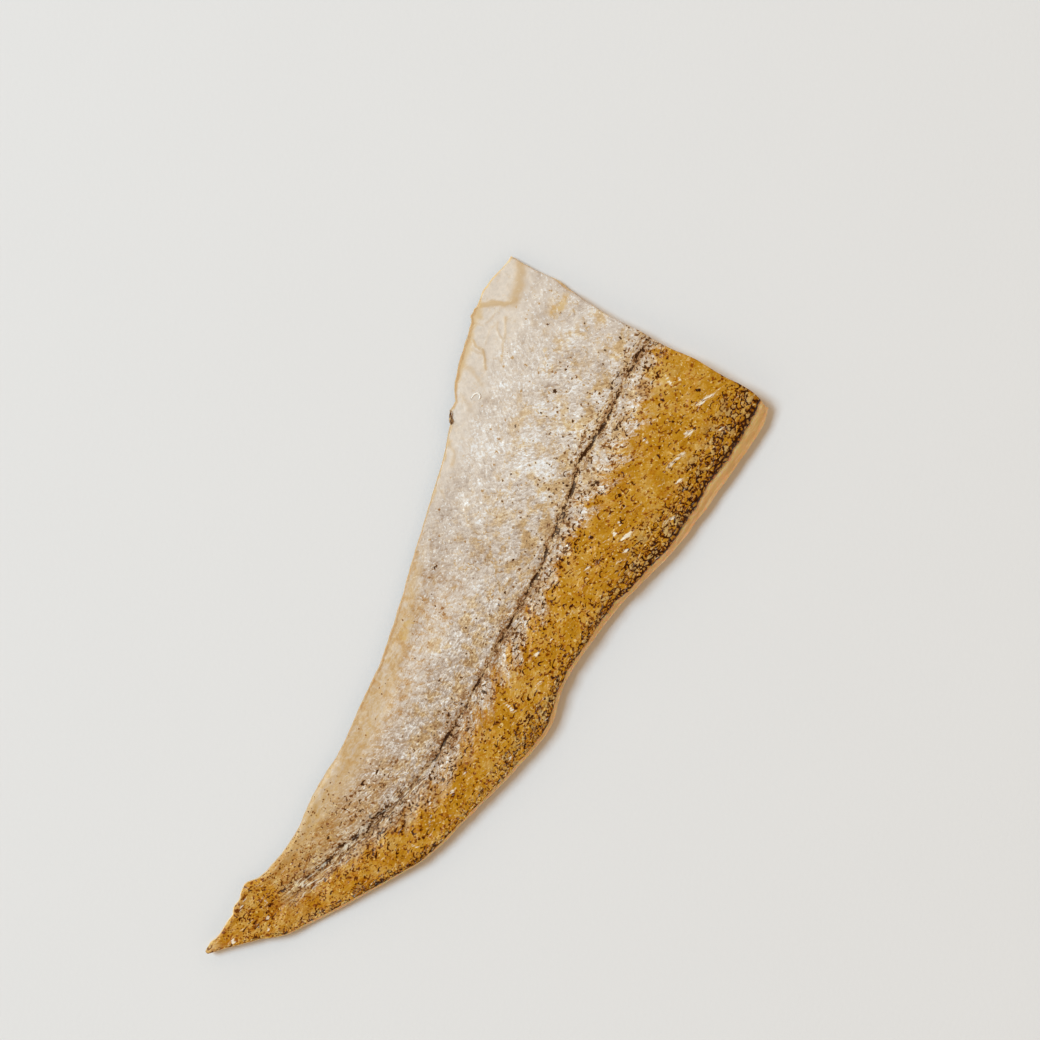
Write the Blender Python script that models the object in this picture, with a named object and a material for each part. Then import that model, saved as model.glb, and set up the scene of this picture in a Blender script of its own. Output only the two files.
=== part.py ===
"""A dried cod fillet: the tail end, cut straight across, lying on its flesh with the skin up.

Skin and flesh dry into one stiff piece, so the fillet is one solid. It is modelled from the
tail tip: x runs along the fish to the cut end, y across it, positive towards the belly.
At the end it is moved so that the middle of its base is the origin.
"""

import bmesh
import bpy
import numpy as np
from mathutils import Vector, noise

MM = 0.001
NAME = "cod_fillet"

# Driving sizes.
LENGTH = 196.1 * MM  # tail tip to cut end
CELLS_ALONG = 68
CELLS_ACROSS = 24
LINE_CELL = 13  # the lateral line runs along this grid line, counted from the belly edge

# Curves of the fillet seen from above, as (distance from the tail tip, y), both in mm.
BELLY_EDGE = (
    (0, 0.6), (6, -0.7), (12, -0.8), (18.6, 0.4), (24, -2.8), (31, -4.1), (38, -4.7),
    (48, -3.6), (61, -3.9), (76, -2.4), (95, 0.3), (120, 6.2), (150, 13.8), (158, 16.8),
    (165, 19.5), (172, 20.7), (178, 23.1), (185, 23.8), (196, 21.4),
)  # fmt: skip
LATERAL_LINE = (
    (0, 0.1), (12, -7.3), (30, -14.0), (45, -19.0), (60, -23.5), (75, -26.0), (95, -26.0),
    (130, -24.7), (150, -21.6), (165, -20.7), (196, -19.8),
)  # fmt: skip
BACK_EDGE = (
    (0, -0.4), (5, -5.6), (15, -15.7), (27, -24.0), (40, -31.6), (50, -37.2), (60, -40.0),
    (75, -44.1), (88, -47.0), (95, -48.0), (105, -45.6), (122, -46.4), (131, -47.6),
    (141, -50.8), (154, -53.9), (170, -56.0), (186, -56.8), (193, -56.4), (196, -54.8),
)  # fmt: skip

# How far the rim of the skin stays inside those edges: along the back bare flesh stands past it.
SKIN_SHORT_OF_BACK = (
    (0, 0.2), (60, 0.3), (90, 0.6), (105, 0.8), (131, 1.4), (137, 0.9), (144, 1.9),
    (150, 1.4), (162, 3.1), (170, 3.5), (190, 3.5), (196, 2.4),
)  # fmt: skip
SKIN_SHORT = 0.3 * MM  # along the belly and the cut
WALL_RINGS = 2
WALL_REACH = (0, 0.72, 1, 0.8)  # how far out the wall stands, evenly down from skin to flesh side

# Thickness of the dried piece near the back, and the shares of it left further down.
BACK_THICKNESS = ((0, 1.5), (15, 2.3), (30, 2.9), (60, 3.7), (100, 4.5), (150, 5.4), (196, 6.0))
BELLY_SHARE = ((0, 0.8), (30, 0.65), (70, 0.42), (110, 0.27), (196, 0.22))
LINE_SHARE = ((0, 0.95), (70, 0.82), (196, 0.80))

# Relief of the skin side.
SWELL = 0.45 * MM  # how far each half arches up between its edge and the lateral line
CREASE_SHARE = 0.16  # depth of the lateral crease, as a share of the thickness there
CREASE_WIDTH = 2.2 * MM
FOLD_HEIGHT = 0.22 * MM
FOLD_PITCH = 11 * MM
FOLD_SLANT = 1.3  # the folds lean back towards the tail this much for each unit from the line
FOLD_REACH = 16 * MM

# The dried edges stand off the table a little, and the tail tip more.
EDGE_LIFT = 0.7 * MM
EDGE_LIFT_SHARE = 0.14  # of the width, at each side
TAIL_LIFT = 1.8 * MM
TAIL_LIFT_LENGTH = 24 * MM

# Unevenness of the edges.
EDGE_ROUGHNESS = 0.25 * MM
CUT_ROUGHNESS = 0.7 * MM
CUT_REACH = 30 * MM  # how far from the cut its unevenness still shifts the surface

FLESH_COLOR = (0.47, 0.25, 0.06, 1)


def curve_at(points, x):
    """The smooth curve through points, given in mm, at the distance x in metres."""
    places, values = np.array(points, float).T * MM
    slopes = np.gradient(values, places)
    i = int(np.clip(np.searchsorted(places, x, side="right") - 1, 0, len(places) - 2))
    step = places[i + 1] - places[i]
    t = (x - places[i]) / step
    near = (1 + 2 * t) * (1 - t) ** 2 * values[i] + t * (1 - t) ** 2 * step * slopes[i]
    far = t * t * (3 - 2 * t) * values[i + 1] - t * t * (1 - t) * step * slopes[i + 1]
    return float(near + far)


def share_at(points, x):
    """The share at the distance x in metres, from (mm, share) pairs."""
    places, shares = np.array(points, float).T
    return float(np.interp(x / MM, places, shares))


def smooth_step(t):
    t = min(max(t, 0.0), 1.0)
    return t * t * (3 - 2 * t)


def rough(x, y, seed, size):
    """A repeatable uneven value from -1 to 1, changing over the distance size."""
    return noise.noise(Vector((x / size, y / size, seed)))


def along(u, v, reach):
    """Distance from the tail tip: even steps, but for the unevenness of the cut."""
    shift = CUT_ROUGHNESS * rough(v * 9, 0, 3.7, 1.0) - (1 - reach) * SKIN_SHORT
    return u * LENGTH + shift * smooth_step(1 - (1 - u) * LENGTH / CUT_REACH)


def across(u, v, reach):
    """The y of a grid point: belly edge at v 0, lateral line at its own grid line, back at v 1."""
    x = u * LENGTH
    roughness = EDGE_ROUGHNESS * smooth_step(x / (8 * MM))
    belly = curve_at(BELLY_EDGE, x) + roughness * rough(x, 0, 1.3, 5 * MM)
    belly -= (1 - reach) * SKIN_SHORT
    back = curve_at(BACK_EDGE, x) + roughness * rough(x, 0, 2.1, 6 * MM)
    back += (1 - reach) * curve_at(SKIN_SHORT_OF_BACK, x)
    line = curve_at(LATERAL_LINE, x)
    line_v = LINE_CELL / CELLS_ACROSS
    return float(np.interp(v, (0, line_v, 1), (belly, line, back)))


def thickness(u, v):
    """Dried thickness: thin at the belly, thick at the back."""
    x = u * LENGTH
    line_v = LINE_CELL / CELLS_ACROSS
    belly, line = share_at(BELLY_SHARE, x), share_at(LINE_SHARE, x)
    share = np.interp(v, (0, line_v, 0.85, 1), (belly, line, 1.0, 0.88))
    return curve_at(BACK_THICKNESS, x) * float(share)


def relief(u, v):
    """Height of the skin above the plain form: two swelling halves, the crease and the folds."""
    x, y = u * LENGTH, across(u, v, 0)
    from_line = abs(y - curve_at(LATERAL_LINE, x))
    line_v = LINE_CELL / CELLS_ACROSS
    half = v / line_v if v < line_v else (1 - v) / (1 - line_v)
    width = smooth_step(x / (40 * MM))
    swell = SWELL * np.sin(np.pi * half) * width
    crease = CREASE_SHARE * thickness(u, line_v) * np.exp(-((from_line / CREASE_WIDTH) ** 2))
    phase = (x + FOLD_SLANT * from_line) / FOLD_PITCH + 0.5 * rough(x, y, 5.2, 20 * MM)
    fade = smooth_step(half * 3) * np.exp(-((from_line / FOLD_REACH) ** 2)) * width
    return float(swell - crease + FOLD_HEIGHT * fade * np.sin(2 * np.pi * phase))


def underside(u, v):
    """Height of the flesh side above the table: flat in the middle, lifted at the rim and tail."""
    x = u * LENGTH
    rim = smooth_step(1 - min(v, 1 - v) / EDGE_LIFT_SHARE) * smooth_step(x / (12 * MM))
    return EDGE_LIFT * rim + TAIL_LIFT * smooth_step(1 - x / TAIL_LIFT_LENGTH)


def surface_point(u, v, down):
    """A point of the surface: down is 0 on the skin, 1 on the flesh side, between on the wall."""
    reach = float(np.interp(down, np.linspace(0, 1, len(WALL_REACH)), WALL_REACH))
    height = (1 - down) * (thickness(u, v) + relief(u, v))
    return Vector((along(u, v, reach), across(u, v, reach), underside(u, v) + height))


def fillet_mesh():
    """The skin as a grid, extruded down to the flesh side, with rings round the side wall."""
    bm = bmesh.new()
    layers = [bm.verts.layers.float.new(name) for name in ("along", "across", "down")]
    bmesh.ops.create_grid(bm, x_segments=CELLS_ALONG, y_segments=CELLS_ACROSS, size=0.5)
    for vert in bm.verts:
        vert[layers[0]] = round((vert.co.x + 0.5) * CELLS_ALONG) / CELLS_ALONG
        vert[layers[1]] = round((0.5 - vert.co.y) * CELLS_ACROSS) / CELLS_ACROSS

    extruded = bmesh.ops.extrude_face_region(bm, geom=bm.faces[:])["geom"]
    flesh = {item for item in extruded if isinstance(item, bmesh.types.BMVert)}
    for vert in flesh:
        vert[layers[2]] = 1
    wall = [edge for edge in bm.edges if (edge.verts[0] in flesh) != (edge.verts[1] in flesh)]
    bmesh.ops.subdivide_edges(bm, edges=wall, cuts=WALL_RINGS)

    for vert in bm.verts:
        vert.co = surface_point(*(vert[layer] for layer in layers))
    bmesh.ops.recalc_face_normals(bm, faces=bm.faces)
    move_to_base_centre(bm)
    mesh = bpy.data.meshes.new(NAME)
    bm.to_mesh(mesh)
    bm.free()
    return mesh


def move_to_base_centre(bm):
    points = np.array([vert.co for vert in bm.verts])
    low, high = points.min(axis=0), points.max(axis=0)
    middle = (low + high) / 2
    bmesh.ops.translate(bm, vec=(-middle[0], -middle[1], -low[2]), verts=bm.verts)


def dried_fish_material():
    material = bpy.data.materials.new("dried_fish")
    material.use_nodes = True
    shader = material.node_tree.nodes["Principled BSDF"]
    shader.inputs["Base Color"].default_value = FLESH_COLOR
    shader.inputs["Roughness"].default_value = 0.42
    shader.inputs["Metallic"].default_value = 0.0
    return material


def clear_scene():
    for obj in list(bpy.data.objects):
        bpy.data.objects.remove(obj, do_unlink=True)


def main():
    clear_scene()
    collection = bpy.data.collections.new("dried_cod")
    bpy.context.scene.collection.children.link(collection)
    mesh = fillet_mesh()
    mesh.materials.append(dried_fish_material())
    mesh.shade_smooth()
    collection.objects.link(bpy.data.objects.new(NAME, mesh))


main()
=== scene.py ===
"""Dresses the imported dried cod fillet: its skin, its flesh, its frayed edges and a pale table.

Shapes are worked out in the fillet's own plan: millimetres along the fish from the tail tip,
and millimetres across it, positive towards the belly. The frame gives the edges and heights.
"""

import math

import bmesh
import bpy
import numpy as np
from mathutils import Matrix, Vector
from mathutils.bvhtree import BVHTree


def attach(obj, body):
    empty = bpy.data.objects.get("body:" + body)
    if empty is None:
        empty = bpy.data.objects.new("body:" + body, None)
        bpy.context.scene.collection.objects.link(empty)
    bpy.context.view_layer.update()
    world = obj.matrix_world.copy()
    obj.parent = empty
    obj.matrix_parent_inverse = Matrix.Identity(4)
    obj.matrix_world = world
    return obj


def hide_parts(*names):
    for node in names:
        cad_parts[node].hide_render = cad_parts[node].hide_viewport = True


bl_info = {
    "name": "Dried Cod Fillet",
    "version": (1, 0, 0),
    "blender": (4, 5, 0),
    "location": "3D View > Sidebar > Dried Cod",
    "description": "Skin, flesh and frayed edges for a dried cod fillet on a pale table",
    "category": "Add Mesh",
}

MM = 0.001
NODE = "cod_fillet"
BODY = "root"

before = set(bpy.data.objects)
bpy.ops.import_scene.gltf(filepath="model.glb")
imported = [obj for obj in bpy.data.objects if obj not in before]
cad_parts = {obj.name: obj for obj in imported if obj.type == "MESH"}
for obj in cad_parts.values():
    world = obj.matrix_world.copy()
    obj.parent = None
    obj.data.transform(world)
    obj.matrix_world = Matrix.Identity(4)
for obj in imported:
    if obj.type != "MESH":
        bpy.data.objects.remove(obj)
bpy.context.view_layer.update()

SKIN_SHORT = 0.3  # the skin's rim stays this far inside the belly edge and the cut, in mm
FLAT_END = 2.2  # the outline is read up to this far from the cut's furthest point
FAR_OFF = 50  # well above or below the fillet
TABLE_GAP = 0.04  # the flesh stays this far above the table
LEAST_FLESH = 0.45  # thickness of the flesh under the skin at the thinnest edge
WALL_REACH = (0.8, 0.96, 1, 0.92, 0.72, 0.42, 0)  # of the side wall, from the flesh side up
RIM_REACH = (0, 0.15, -2.2)  # of the skin and the two rings that turn its rim down
RIM_DROP = (0, 1, 1.6)  # how far those rings lie below it, as shares of the skin's thickness

# Curves in the plan, as (distance from the tail tip, y), in mm.
LATERAL_LINE = (
    (0, 0), (12, -7.3), (30, -14), (45, -19.2), (52, -21.6), (60, -23.7), (75, -25.9), (95, -26),
    (110, -25.2), (122, -25.4), (135, -24), (150, -21.8), (157, -20.4), (172, -20.5), (190, -19.4),
    (197, -19.9),
)  # fmt: skip
SILVER_TOP = (  # beyond it lies the smooth skin by the belly
    (18, -9), (30, -7.5), (45, -8.5), (60, -9.5), (80, -7), (100, -3), (125, 6), (150, 10), (165, 12),
    (180, 13.5), (197, 16.5),
)  # fmt: skip
GOLD_TOP = (  # where the gold of the back begins to turn to silver
    (0, 12), (14, 6), (20, -6), (26, -15.5), (32, -18.5), (45, -25), (60, -30.5), (75, -33.5),
    (90, -33.5), (110, -31.5), (130, -30.5), (145, -29.5), (156, -30.2), (166, -32), (173, -32.5),
    (180, -30), (190, -24.5), (197, -23),
)  # fmt: skip

# Profiles along the fillet, as (distance from the tail tip, value). The trims move its outline.
SKIN_SHORT_OF_BACK = (
    (0, 0.2), (12, 0.4), (22, 0.9), (35, 0.8), (45, 0.6), (60, 0.8), (78, 1.1), (90, 1.2), (98, 1.4),
    (106, 1.1), (120, 1.3), (131, 2.1), (137, 1.3), (144, 2.2), (150, 1.9), (162, 3.1), (170, 4),
    (178, 3.7), (190, 4.4), (197, 3),
)  # fmt: skip
BACK_TRIM = (
    (0, 0), (3, 0.35), (8, 0.5), (10, 0.6), (12, -0.1), (14, -0.4), (18, 0), (130, 0), (140, 0.6),
    (150, 0.6), (160, 0.9), (170, 1), (180, 0.8), (187, 0.45), (197, 0.3),
)  # fmt: skip
BELLY_TRIM = (
    (0, 0), (1, 0.4), (3, 0.8), (4, 0.4), (6, 0.35), (8, 0.6), (10, 0.6), (12, 0.2), (13, 0.5), (14, 0.5),
    (16, -0.4), (17, -0.5), (18, 0.1), (20, 0.9), (21, 1.1), (23, 0.8), (32, 0.5), (40, 0.3), (56, 0.5),
    (64, 0.3), (72, 0.4), (80, 0.1), (87, -0.3), (94, 0), (140, 0), (151.4, 0.2), (152.8, 1.1),
    (153.4, 1), (154.1, 0.4), (156, -0.2), (157, 0.1), (158, 0.6), (160, 0.9), (162, 0.7), (168, 0.6),
    (170, 0.8), (174, 0.6), (176, 0.3), (177.2, 1.1), (177.9, 0.4), (179, 0.4), (180, -0.2), (182, -0.2),
    (184, 0.2), (186, 0), (190, 0.2), (194, 0.4), (196, -0.3),
)  # fmt: skip
CUT_TRIM = (  # by y, across the fillet
    (-57, -2.6), (-55.5, -1.5), (-54, -0.9), (-52.5, -0.4), (-50, 0.1), (-45, 0.3), (-30, -0.1),
    (-20, -0.4), (-7, -0.8), (-1, -0.5), (3, -0.1), (8, 0.3), (14, 0), (22, -0.3),
)  # fmt: skip
SILVER_LEVEL = (
    (0, 0.12), (14, 0.12), (22, 0.17), (32, 0.24), (45, 0.35), (60, 0.55), (75, 0.7), (105, 0.74),
    (125, 0.8), (145, 0.88), (165, 0.89), (177, 0.83), (197, 0.8),
)  # fmt: skip
MARGIN_WIDTH = ((22, 3), (40, 6), (55, 9.5), (75, 10), (95, 8), (112, 5))
STRAW_RIM = (
    (140, 0.6), (150, 0.8), (156, 0.6), (160, 1.2), (163, 1.6), (166, 2.4), (170, 2.2), (174, 1.6),
    (176, 2), (178, 3.2), (180, 1.6), (183, 0.5), (197, 0.4),
)  # fmt: skip
NET_DEPTH = (
    (0, 0.5), (12, 1.8), (33, 2.5), (38, 3.5), (46, 2), (70, 2.5), (84, 5), (92, 6.5), (100, 3.5),
    (112, 2.2), (128, 3), (136, 6), (150, 7), (197, 9),
)  # fmt: skip
# Brightness of the silver skin along the fillet: its own whiteness, with painted sheen.
SHEEN = (
    (0, 0.1), (20, 0.15), (60, 0.2), (75, 0.24), (105, 0.3), (125, 0.42), (150, 0.56), (170, 0.58),
    (180, 0.5), (197, 0.48),
)  # fmt: skip
DARK_RIM = (
    (0, 0), (30, 0), (36, 0.25), (54, 0.25), (60, 0), (86, 0), (94, 0.1), (120, 0.1), (135, 0.2),
    (150, 0.3), (197, 0.3),
)  # fmt: skip
AMBER_RIM = (
    (0, 0.2), (22, 0.1), (58, 0.3), (66, 0.8), (96, 1), (110, 0.8), (150, 0.6), (158, 1), (178, 1),
    (186, 0.3), (197, 0.2),
)  # fmt: skip
POCKET_WIDTH = ((0, 0.8), (60, 1.1), (120, 1.2), (150, 1.6), (197, 1.9))
POCKET_ROW = ((0, 0.7), (60, 0.8), (120, 0.85), (150, 1.1), (197, 1.25))
CREASE_STRENGTH = (
    (8, 0), (20, 0.25), (33, 0.7), (40, 0.5), (50, 0.8), (58, 0.45), (70, 0.7), (80, 0.75), (84, 0.3),
    (93, 0.45), (106, 0.6), (124, 0.75), (130, 0.6), (140, 1), (152, 1.1), (156, 0.8), (163, 1.1),
    (172, 0.9), (181, 0.4), (190, 0.7), (197, 0.2),
)  # fmt: skip

# Soft ovals in the plan: (x, y, length, width, turn in degrees, strength).
# Painted highlights: glossy wrinkles of the back that catch the light, drawn as cream strokes.
GLINT_STREAKS = (
    (147.5, -40.1, 4.5, 1.5, -15, 1), (171.5, -41.3, 7.5, 1.3, -18, 1), (178.4, -40.4, 4, 1.3, -30, 0.9),
    (187.8, -39.8, 7, 1.5, -27, 1), (187.9, -29.4, 3.4, 1.2, 58, 0.9), (189.6, -31.6, 2.4, 1, 50, 0.7),
    (167, -44.8, 3, 1.4, -35, 0.9), (144.4, -41.7, 2.4, 1.1, -20, 0.8),
    (156.5, -47.3, 5.5, 1.1, -30, 0.9), (183.8, -47.3, 3, 1.2, 0, 0.7), (146.6, -37.3, 1.8, 1.1, 60, 0.9),
    (149.7, -36.7, 1.6, 0.9, 60, 0.8), (162.8, -41.4, 1.8, 1.1, 30, 0.8),
    (171.3, -32.6, 3.4, 1.3, 80, 0.8), (94.3, -36.2, 4, 1.2, 75, 0.9), (103, -39.7, 3.4, 1.3, -10, 0.8),
    (108.7, -29.7, 1.8, 1.2, 0, 0.8), (110, -35.3, 2.4, 0.9, 10, 0.7), (115, -36.5, 1.4, 1, 0, 0.8),
    (124, -38, 1.8, 0.9, 60, 0.7), (135.5, -35.6, 2.2, 1.1, -20, 0.9), (140.6, -41.2, 3, 1, -35, 0.7),
    (62.3, -30.8, 4.5, 0.9, 30, 0.8), (59.5, -32.6, 5, 0.8, 22, 0.7), (68, -34, 2.6, 1.2, -30, 0.7),
    (73.7, -34.4, 1.4, 1.2, 0, 0.8), (51, -32.5, 3.2, 1, -70, 0.7), (83.4, -42.5, 2, 1.4, 20, 0.6),
    (13.2, -11, 1.6, 1, 60, 0.8), (15.6, -9, 2, 1.1, 10, 0.9), (6.3, -4.2, 2.4, 1.1, 45, 0.75),
    (19.2, -6.4, 2.6, 0.7, 80, 0.8), (14.8, -12.4, 2.4, 1, 70, 0.8), (9, -9, 2.4, 0.6, -38, 0.7),
    (15.5, -1.7, 3.6, 0.8, 5, 0.7),
)  # fmt: skip
# White patches of the silver skin: partly its own white, partly painted highlights.
WHITE_HIGHLIGHTS = (
    (151.5, -11.5, 8, 4.5, -50, 1), (153.5, -3.5, 7, 4, -40, 0.8), (164.5, -13.5, 8, 3, -52, 1),
    (165.4, -18.2, 5, 2.6, 0, 1), (172.3, -18.6, 5, 2, 5, 0.9), (188.5, -1.5, 15, 4, -8, 1.1),
    (187, -14.5, 15, 3.5, 0, 0.8), (183.4, -20.9, 3.8, 1.8, 0, 1), (176, -0.5, 6, 3, 0, 0.7),
    (171.5, -22.8, 2.6, 1.8, 0, 0.8), (146.5, -15.5, 7, 3, -45, 0.8), (135, -19.8, 5, 2.4, -35, 0.8),
    (99, -14, 9, 3, -15, 0.8), (92, -20.5, 6, 2.5, -20, 0.9), (90, -27.9, 6, 1.8, 0, 0.9),
    (116.5, -28.4, 8, 2, -5, 0.9), (96, -27.5, 4, 1.6, 5, 0.8), (84, -27, 5, 1.6, 5, 0.8),
    (75, -29, 5, 2, 10, 0.6), (64, -17, 12, 2.2, -42, 0.7), (71, -20, 8, 2.5, -30, 0.7),
    (54.5, -22.7, 4.5, 1.3, -12, 1), (59.5, -24.8, 3.5, 1.5, -10, 0.9), (36, -15, 9, 1.6, -30, 0.9),
    (28.5, -12.2, 8, 1.6, -30, 0.8), (51.5, -15.5, 9, 1.8, -52, 0.6), (56.5, -17.5, 9, 1.6, -52, 0.6),
)  # fmt: skip
BROWN_STAINS = (
    (12.6, -7.2, 4.4, 1.5, 8, 1), (18.8, -8.2, 4, 1.8, -20, 0.7), (13.4, -12, 2, 3.2, 20, 0.6),
    (2.6, -1.4, 3.4, 1, -45, 0.5), (43, -17, 8, 2, -30, 0.4), (38, -15.6, 6, 2, -20, 0.35),
    (46, -13, 12, 1.6, -48, 0.5), (53, -15, 12, 1.4, -50, 0.5), (60, -18, 10, 1.3, -50, 0.4),
    (82, -18, 6, 4, -50, 0.6), (91.5, -19.5, 4, 3, 0, 0.5), (77, -26, 9, 2.2, 0, 0.6),
    (150, -29.5, 12, 3, 0, 0.5), (96, -30.5, 8, 2, 35, 0.6), (88, -32.5, 7, 2, 40, 0.5),
    (144.5, -23.5, 9, 2.4, 12, 0.7), (153, -25.5, 7, 3, -30, 0.6), (168.5, -20.6, 8, 2.6, 0, 0.7),
    (189, -19.6, 6, 2.2, 0, 1), (178, -19.9, 8, 1.6, 5, 0.6), (125, -25.6, 8, 3, 0, 0.7),
    (1.6, -1.2, 1.2, 2.2, 20, 0.8), (3.4, -2.6, 1.6, 1.2, 40, 0.8), (4.4, -1.4, 0.9, 2, 0, 0.7),
    (196.2, -4.5, 1.2, 6, 0, 0.8),
)  # fmt: skip
CRACKS = (
    (23.5, -8.8, 3.4, 1.2, -35, 0.9), (30.2, -12.9, 3.4, 1.2, -38, 0.9), (35.5, -15, 6.5, 1.5, -14, 1),
    (41.8, -16.6, 4, 1.3, -30, 1), (45.2, -18.2, 3.6, 1.7, -38, 1), (49.5, -20.1, 4, 1.2, -5, 0.9),
    (53.8, -20.9, 6.5, 1.4, -25, 1), (58.6, -23, 4.5, 1.1, -12, 0.9), (28.2, -22.8, 2.4, 1.3, -40, 0.8),
    (34.4, -26.3, 2.6, 1.5, -45, 0.9), (38.5, -29.5, 4.5, 1.7, -38, 1), (52, -16.5, 5, 0.9, -60, 0.7),
    (41.6, -12.2, 1.4, 1.2, 20, 0.8), (39.5, -24.3, 1.6, 1.2, -30, 0.8), (67.5, -25.5, 5, 1, -3, 0.8),
    (73.5, -26, 4, 1.2, 0, 0.9), (78.5, -25.7, 7, 1.6, 3, 1), (84.5, -26.2, 5, 0.9, -3, 0.7),
    (94.4, -28.6, 1.2, 2.4, 0, 1), (95.5, -25.8, 5, 1.2, 3, 0.8), (88.8, -26.5, 1.4, 1.2, 0, 0.8),
    (81, -30.2, 1.6, 1, 60, 0.7), (98.5, -29.5, 3.5, 1.3, 65, 0.7), (108.5, -25.6, 3.5, 1.1, 0, 0.8),
    (113.5, -25.2, 4, 1.3, 8, 0.9), (119.5, -24.9, 7, 1.1, -3, 0.9), (126, -25.6, 4.5, 2.6, 0, 0.9),
    (133, -24.5, 5, 1.4, 8, 0.9), (139.5, -24.3, 4, 1.5, 10, 1), (144, -23.3, 6, 1.2, 6, 1),
    (146.5, -22.8, 1.6, 1.8, 0, 0.9), (151, -22, 5.5, 1.6, 10, 1), (155.8, -21.2, 3.5, 1.1, 25, 0.8),
    (160, -20.2, 4.5, 1.7, 12, 1), (164.5, -20.3, 4, 1.2, -6, 0.9), (168.8, -20.6, 4, 2.2, 5, 1),
    (172.8, -20.7, 3.5, 1.2, -5, 0.8), (170.2, -24, 1.3, 2, 10, 0.9), (179, -17.5, 2.6, 1.3, 70, 0.8),
    (177.5, -20, 5, 1, 4, 0.7), (185, -19.8, 3.5, 1.3, 5, 0.8), (189.5, -18.8, 4, 1.4, -8, 0.9),
    (155.5, -26.2, 4, 1.5, -30, 0.9), (154, -28.6, 3, 1.6, -40, 0.8), (149.5, -25.8, 2.8, 1.2, 30, 0.7),
    (163.2, -14, 1.4, 2, 0, 0.6), (171, -5.3, 1.5, 1.5, 0, 1), (143.5, -32.5, 2.2, 1.1, 10, 0.7),
    (12.8, -7, 3.4, 1.3, 5, 0.9), (18.6, -7.9, 3.2, 1.5, -25, 0.8), (14.5, -15.5, 2, 1.3, -45, 0.8),
    (21, -19.6, 2.6, 1.3, -40, 0.8),
)  # fmt: skip
OCHRE_PATCHES = (
    (190.5, 4.6, 10, 4.4, -5, 0.8), (191.2, 4.4, 2.4, 1.4, 30, 0.8), (179, 2.2, 3, 1.6, 0, 0.6),
    (187, -8, 11, 5, 60, 0.42), (177.5, -15.5, 3, 4, 0, 0.5), (165, -25, 2.6, 9, 0, 0.8),
    (176.8, -26.5, 4.2, 4, 0, 0.8), (170, -27, 1.8, 8, 0, 0.6), (160, -25.5, 2.2, 7, 10, 0.6),
    (187, -27, 16, 13, 0, 0.75), (192, -36, 10, 12, 0, 0.5), (98, -3, 10, 4, 12, 0.7),
    (83, -15, 5, 3, -30, 0.4), (70, -7, 12, 3, 0, 0.5), (44, -7.5, 6, 4, 0, 0.5),
    (152, 5, 10, 4, 30, 0.3), (159, -8, 6, 3, -50, 0.3),
)  # fmt: skip

# Folds of the smooth skin beside the belly: (width, strength, path in the plan).
FOLDS = (
    (1.6, 0.45, ((165, 18.8), (164.8, 16), (163.8, 13.5), (163.2, 12))),
    (0.9, 0.55, ((169.8, 18.6), (169.5, 17.2), (169.9, 16))),
    (0.8, 0.8, ((171.8, 19.6), (171.2, 17.8), (170.8, 16.2), (169.5, 14.8), (167.2, 13.2))),
    (1.2, 1, ((180.6, 22.6), (182.4, 20.6), (183.4, 18.6), (183.9, 17), (186.5, 15.4))),
    (3, 0.7, ((185.5, 15.6), (189, 15.9), (192, 17.2), (195.5, 19))),
    (0.7, 0.6, ((171, 10.4), (173.5, 11.6), (175.6, 12.8), (178, 13.2), (181, 15.2))),
    (0.7, 0.5, ((175.6, 12.8), (176.2, 14.4), (177.5, 15.6), (179.3, 16.6))),
    (0.6, 0.4, ((172.5, 16.4), (175.5, 16.8), (179.5, 16.8))),
    (0.6, 0.45, ((177, 19), (180.2, 18.4), (183, 17.4))),
    (0.7, 0.7, ((194.6, 22.4), (196, 21.2), (196.3, 18.5))),
    (1.2, 0.35, ((155.5, 11.5), (157.5, 13.5), (158, 15))),
    (1.2, 0.5, ((146, 12), (144, 9.5), (141, 8))),
    (1, 0.4, ((135, 8.5), (132.5, 5.5))),
)

SCRAP_PLACE = (151.6, 14.7)  # middle of the curled scrap, in the plan
SCRAP_HEADING = 36
THREAD_PATH = (
    (158.2, 12.3), (158.9, 12.5), (159.7, 12.4), (160.4, 12.0), (160.6, 11.3), (160.3, 10.8),
    (159.6, 10.6), (158.9, 10.7),
)  # fmt: skip
THREAD_SHAPE = (0, 0.7, 1, 1.1, 1, 1, 0.8, 0)  # shares of its radius along it
TUBE_SIDES = 8

VIEW_MIDDLE = (137.6, -14.2)  # middle of the view, in the plan
LIGHT_HEADING = (-0.215, 0.973)  # from the fillet towards the light, in the plan
LENS = 85.0
SENSOR = 36.0


def rise(value, low, high):
    """0 up to low and 1 from high, eased between."""
    t = np.clip((value - low) / (high - low), 0, 1)
    return t * t * (3 - 2 * t)


def fall(value, low, high):
    return 1 - rise(value, low, high)


def between(value, low, full, until, end):
    """0 up to low, 1 from full until the next place, and 0 again from end."""
    return rise(value, low, full) * fall(value, until, end)


def hump(value, width):
    """1 where the value is 0, falling away on both sides."""
    return np.exp(-((value / width) ** 2))


def along_curve(points, x):
    """The smooth curve through points at the places x, both in mm."""
    places, values = np.array(points, float).T
    slopes = np.gradient(values, places)
    x = np.clip(x, places[0], places[-1])
    i = np.clip(np.searchsorted(places, x, side="right") - 1, 0, len(places) - 2)
    step = places[i + 1] - places[i]
    t = (x - places[i]) / step
    near = (1 + 2 * t) * (1 - t) ** 2 * values[i] + t * (1 - t) ** 2 * step * slopes[i]
    far = t * t * (3 - 2 * t) * values[i + 1] - t * t * (1 - t) * step * slopes[i + 1]
    return near + far


def profile(points, x):
    places, values = np.array(points, float).T
    return np.interp(x, places, values)


def chance(i, j, seed):
    """A repeatable number from 0 to 1 for each whole-numbered place."""
    n = (i * 374761393 + j * 668265263 + seed * 362437) & 0xFFFFFFFF
    n = ((n ^ (n >> 13)) * 1274126177) & 0xFFFFFFFF
    return ((n ^ (n >> 16)) & 0xFFFF) / 65535


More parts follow.
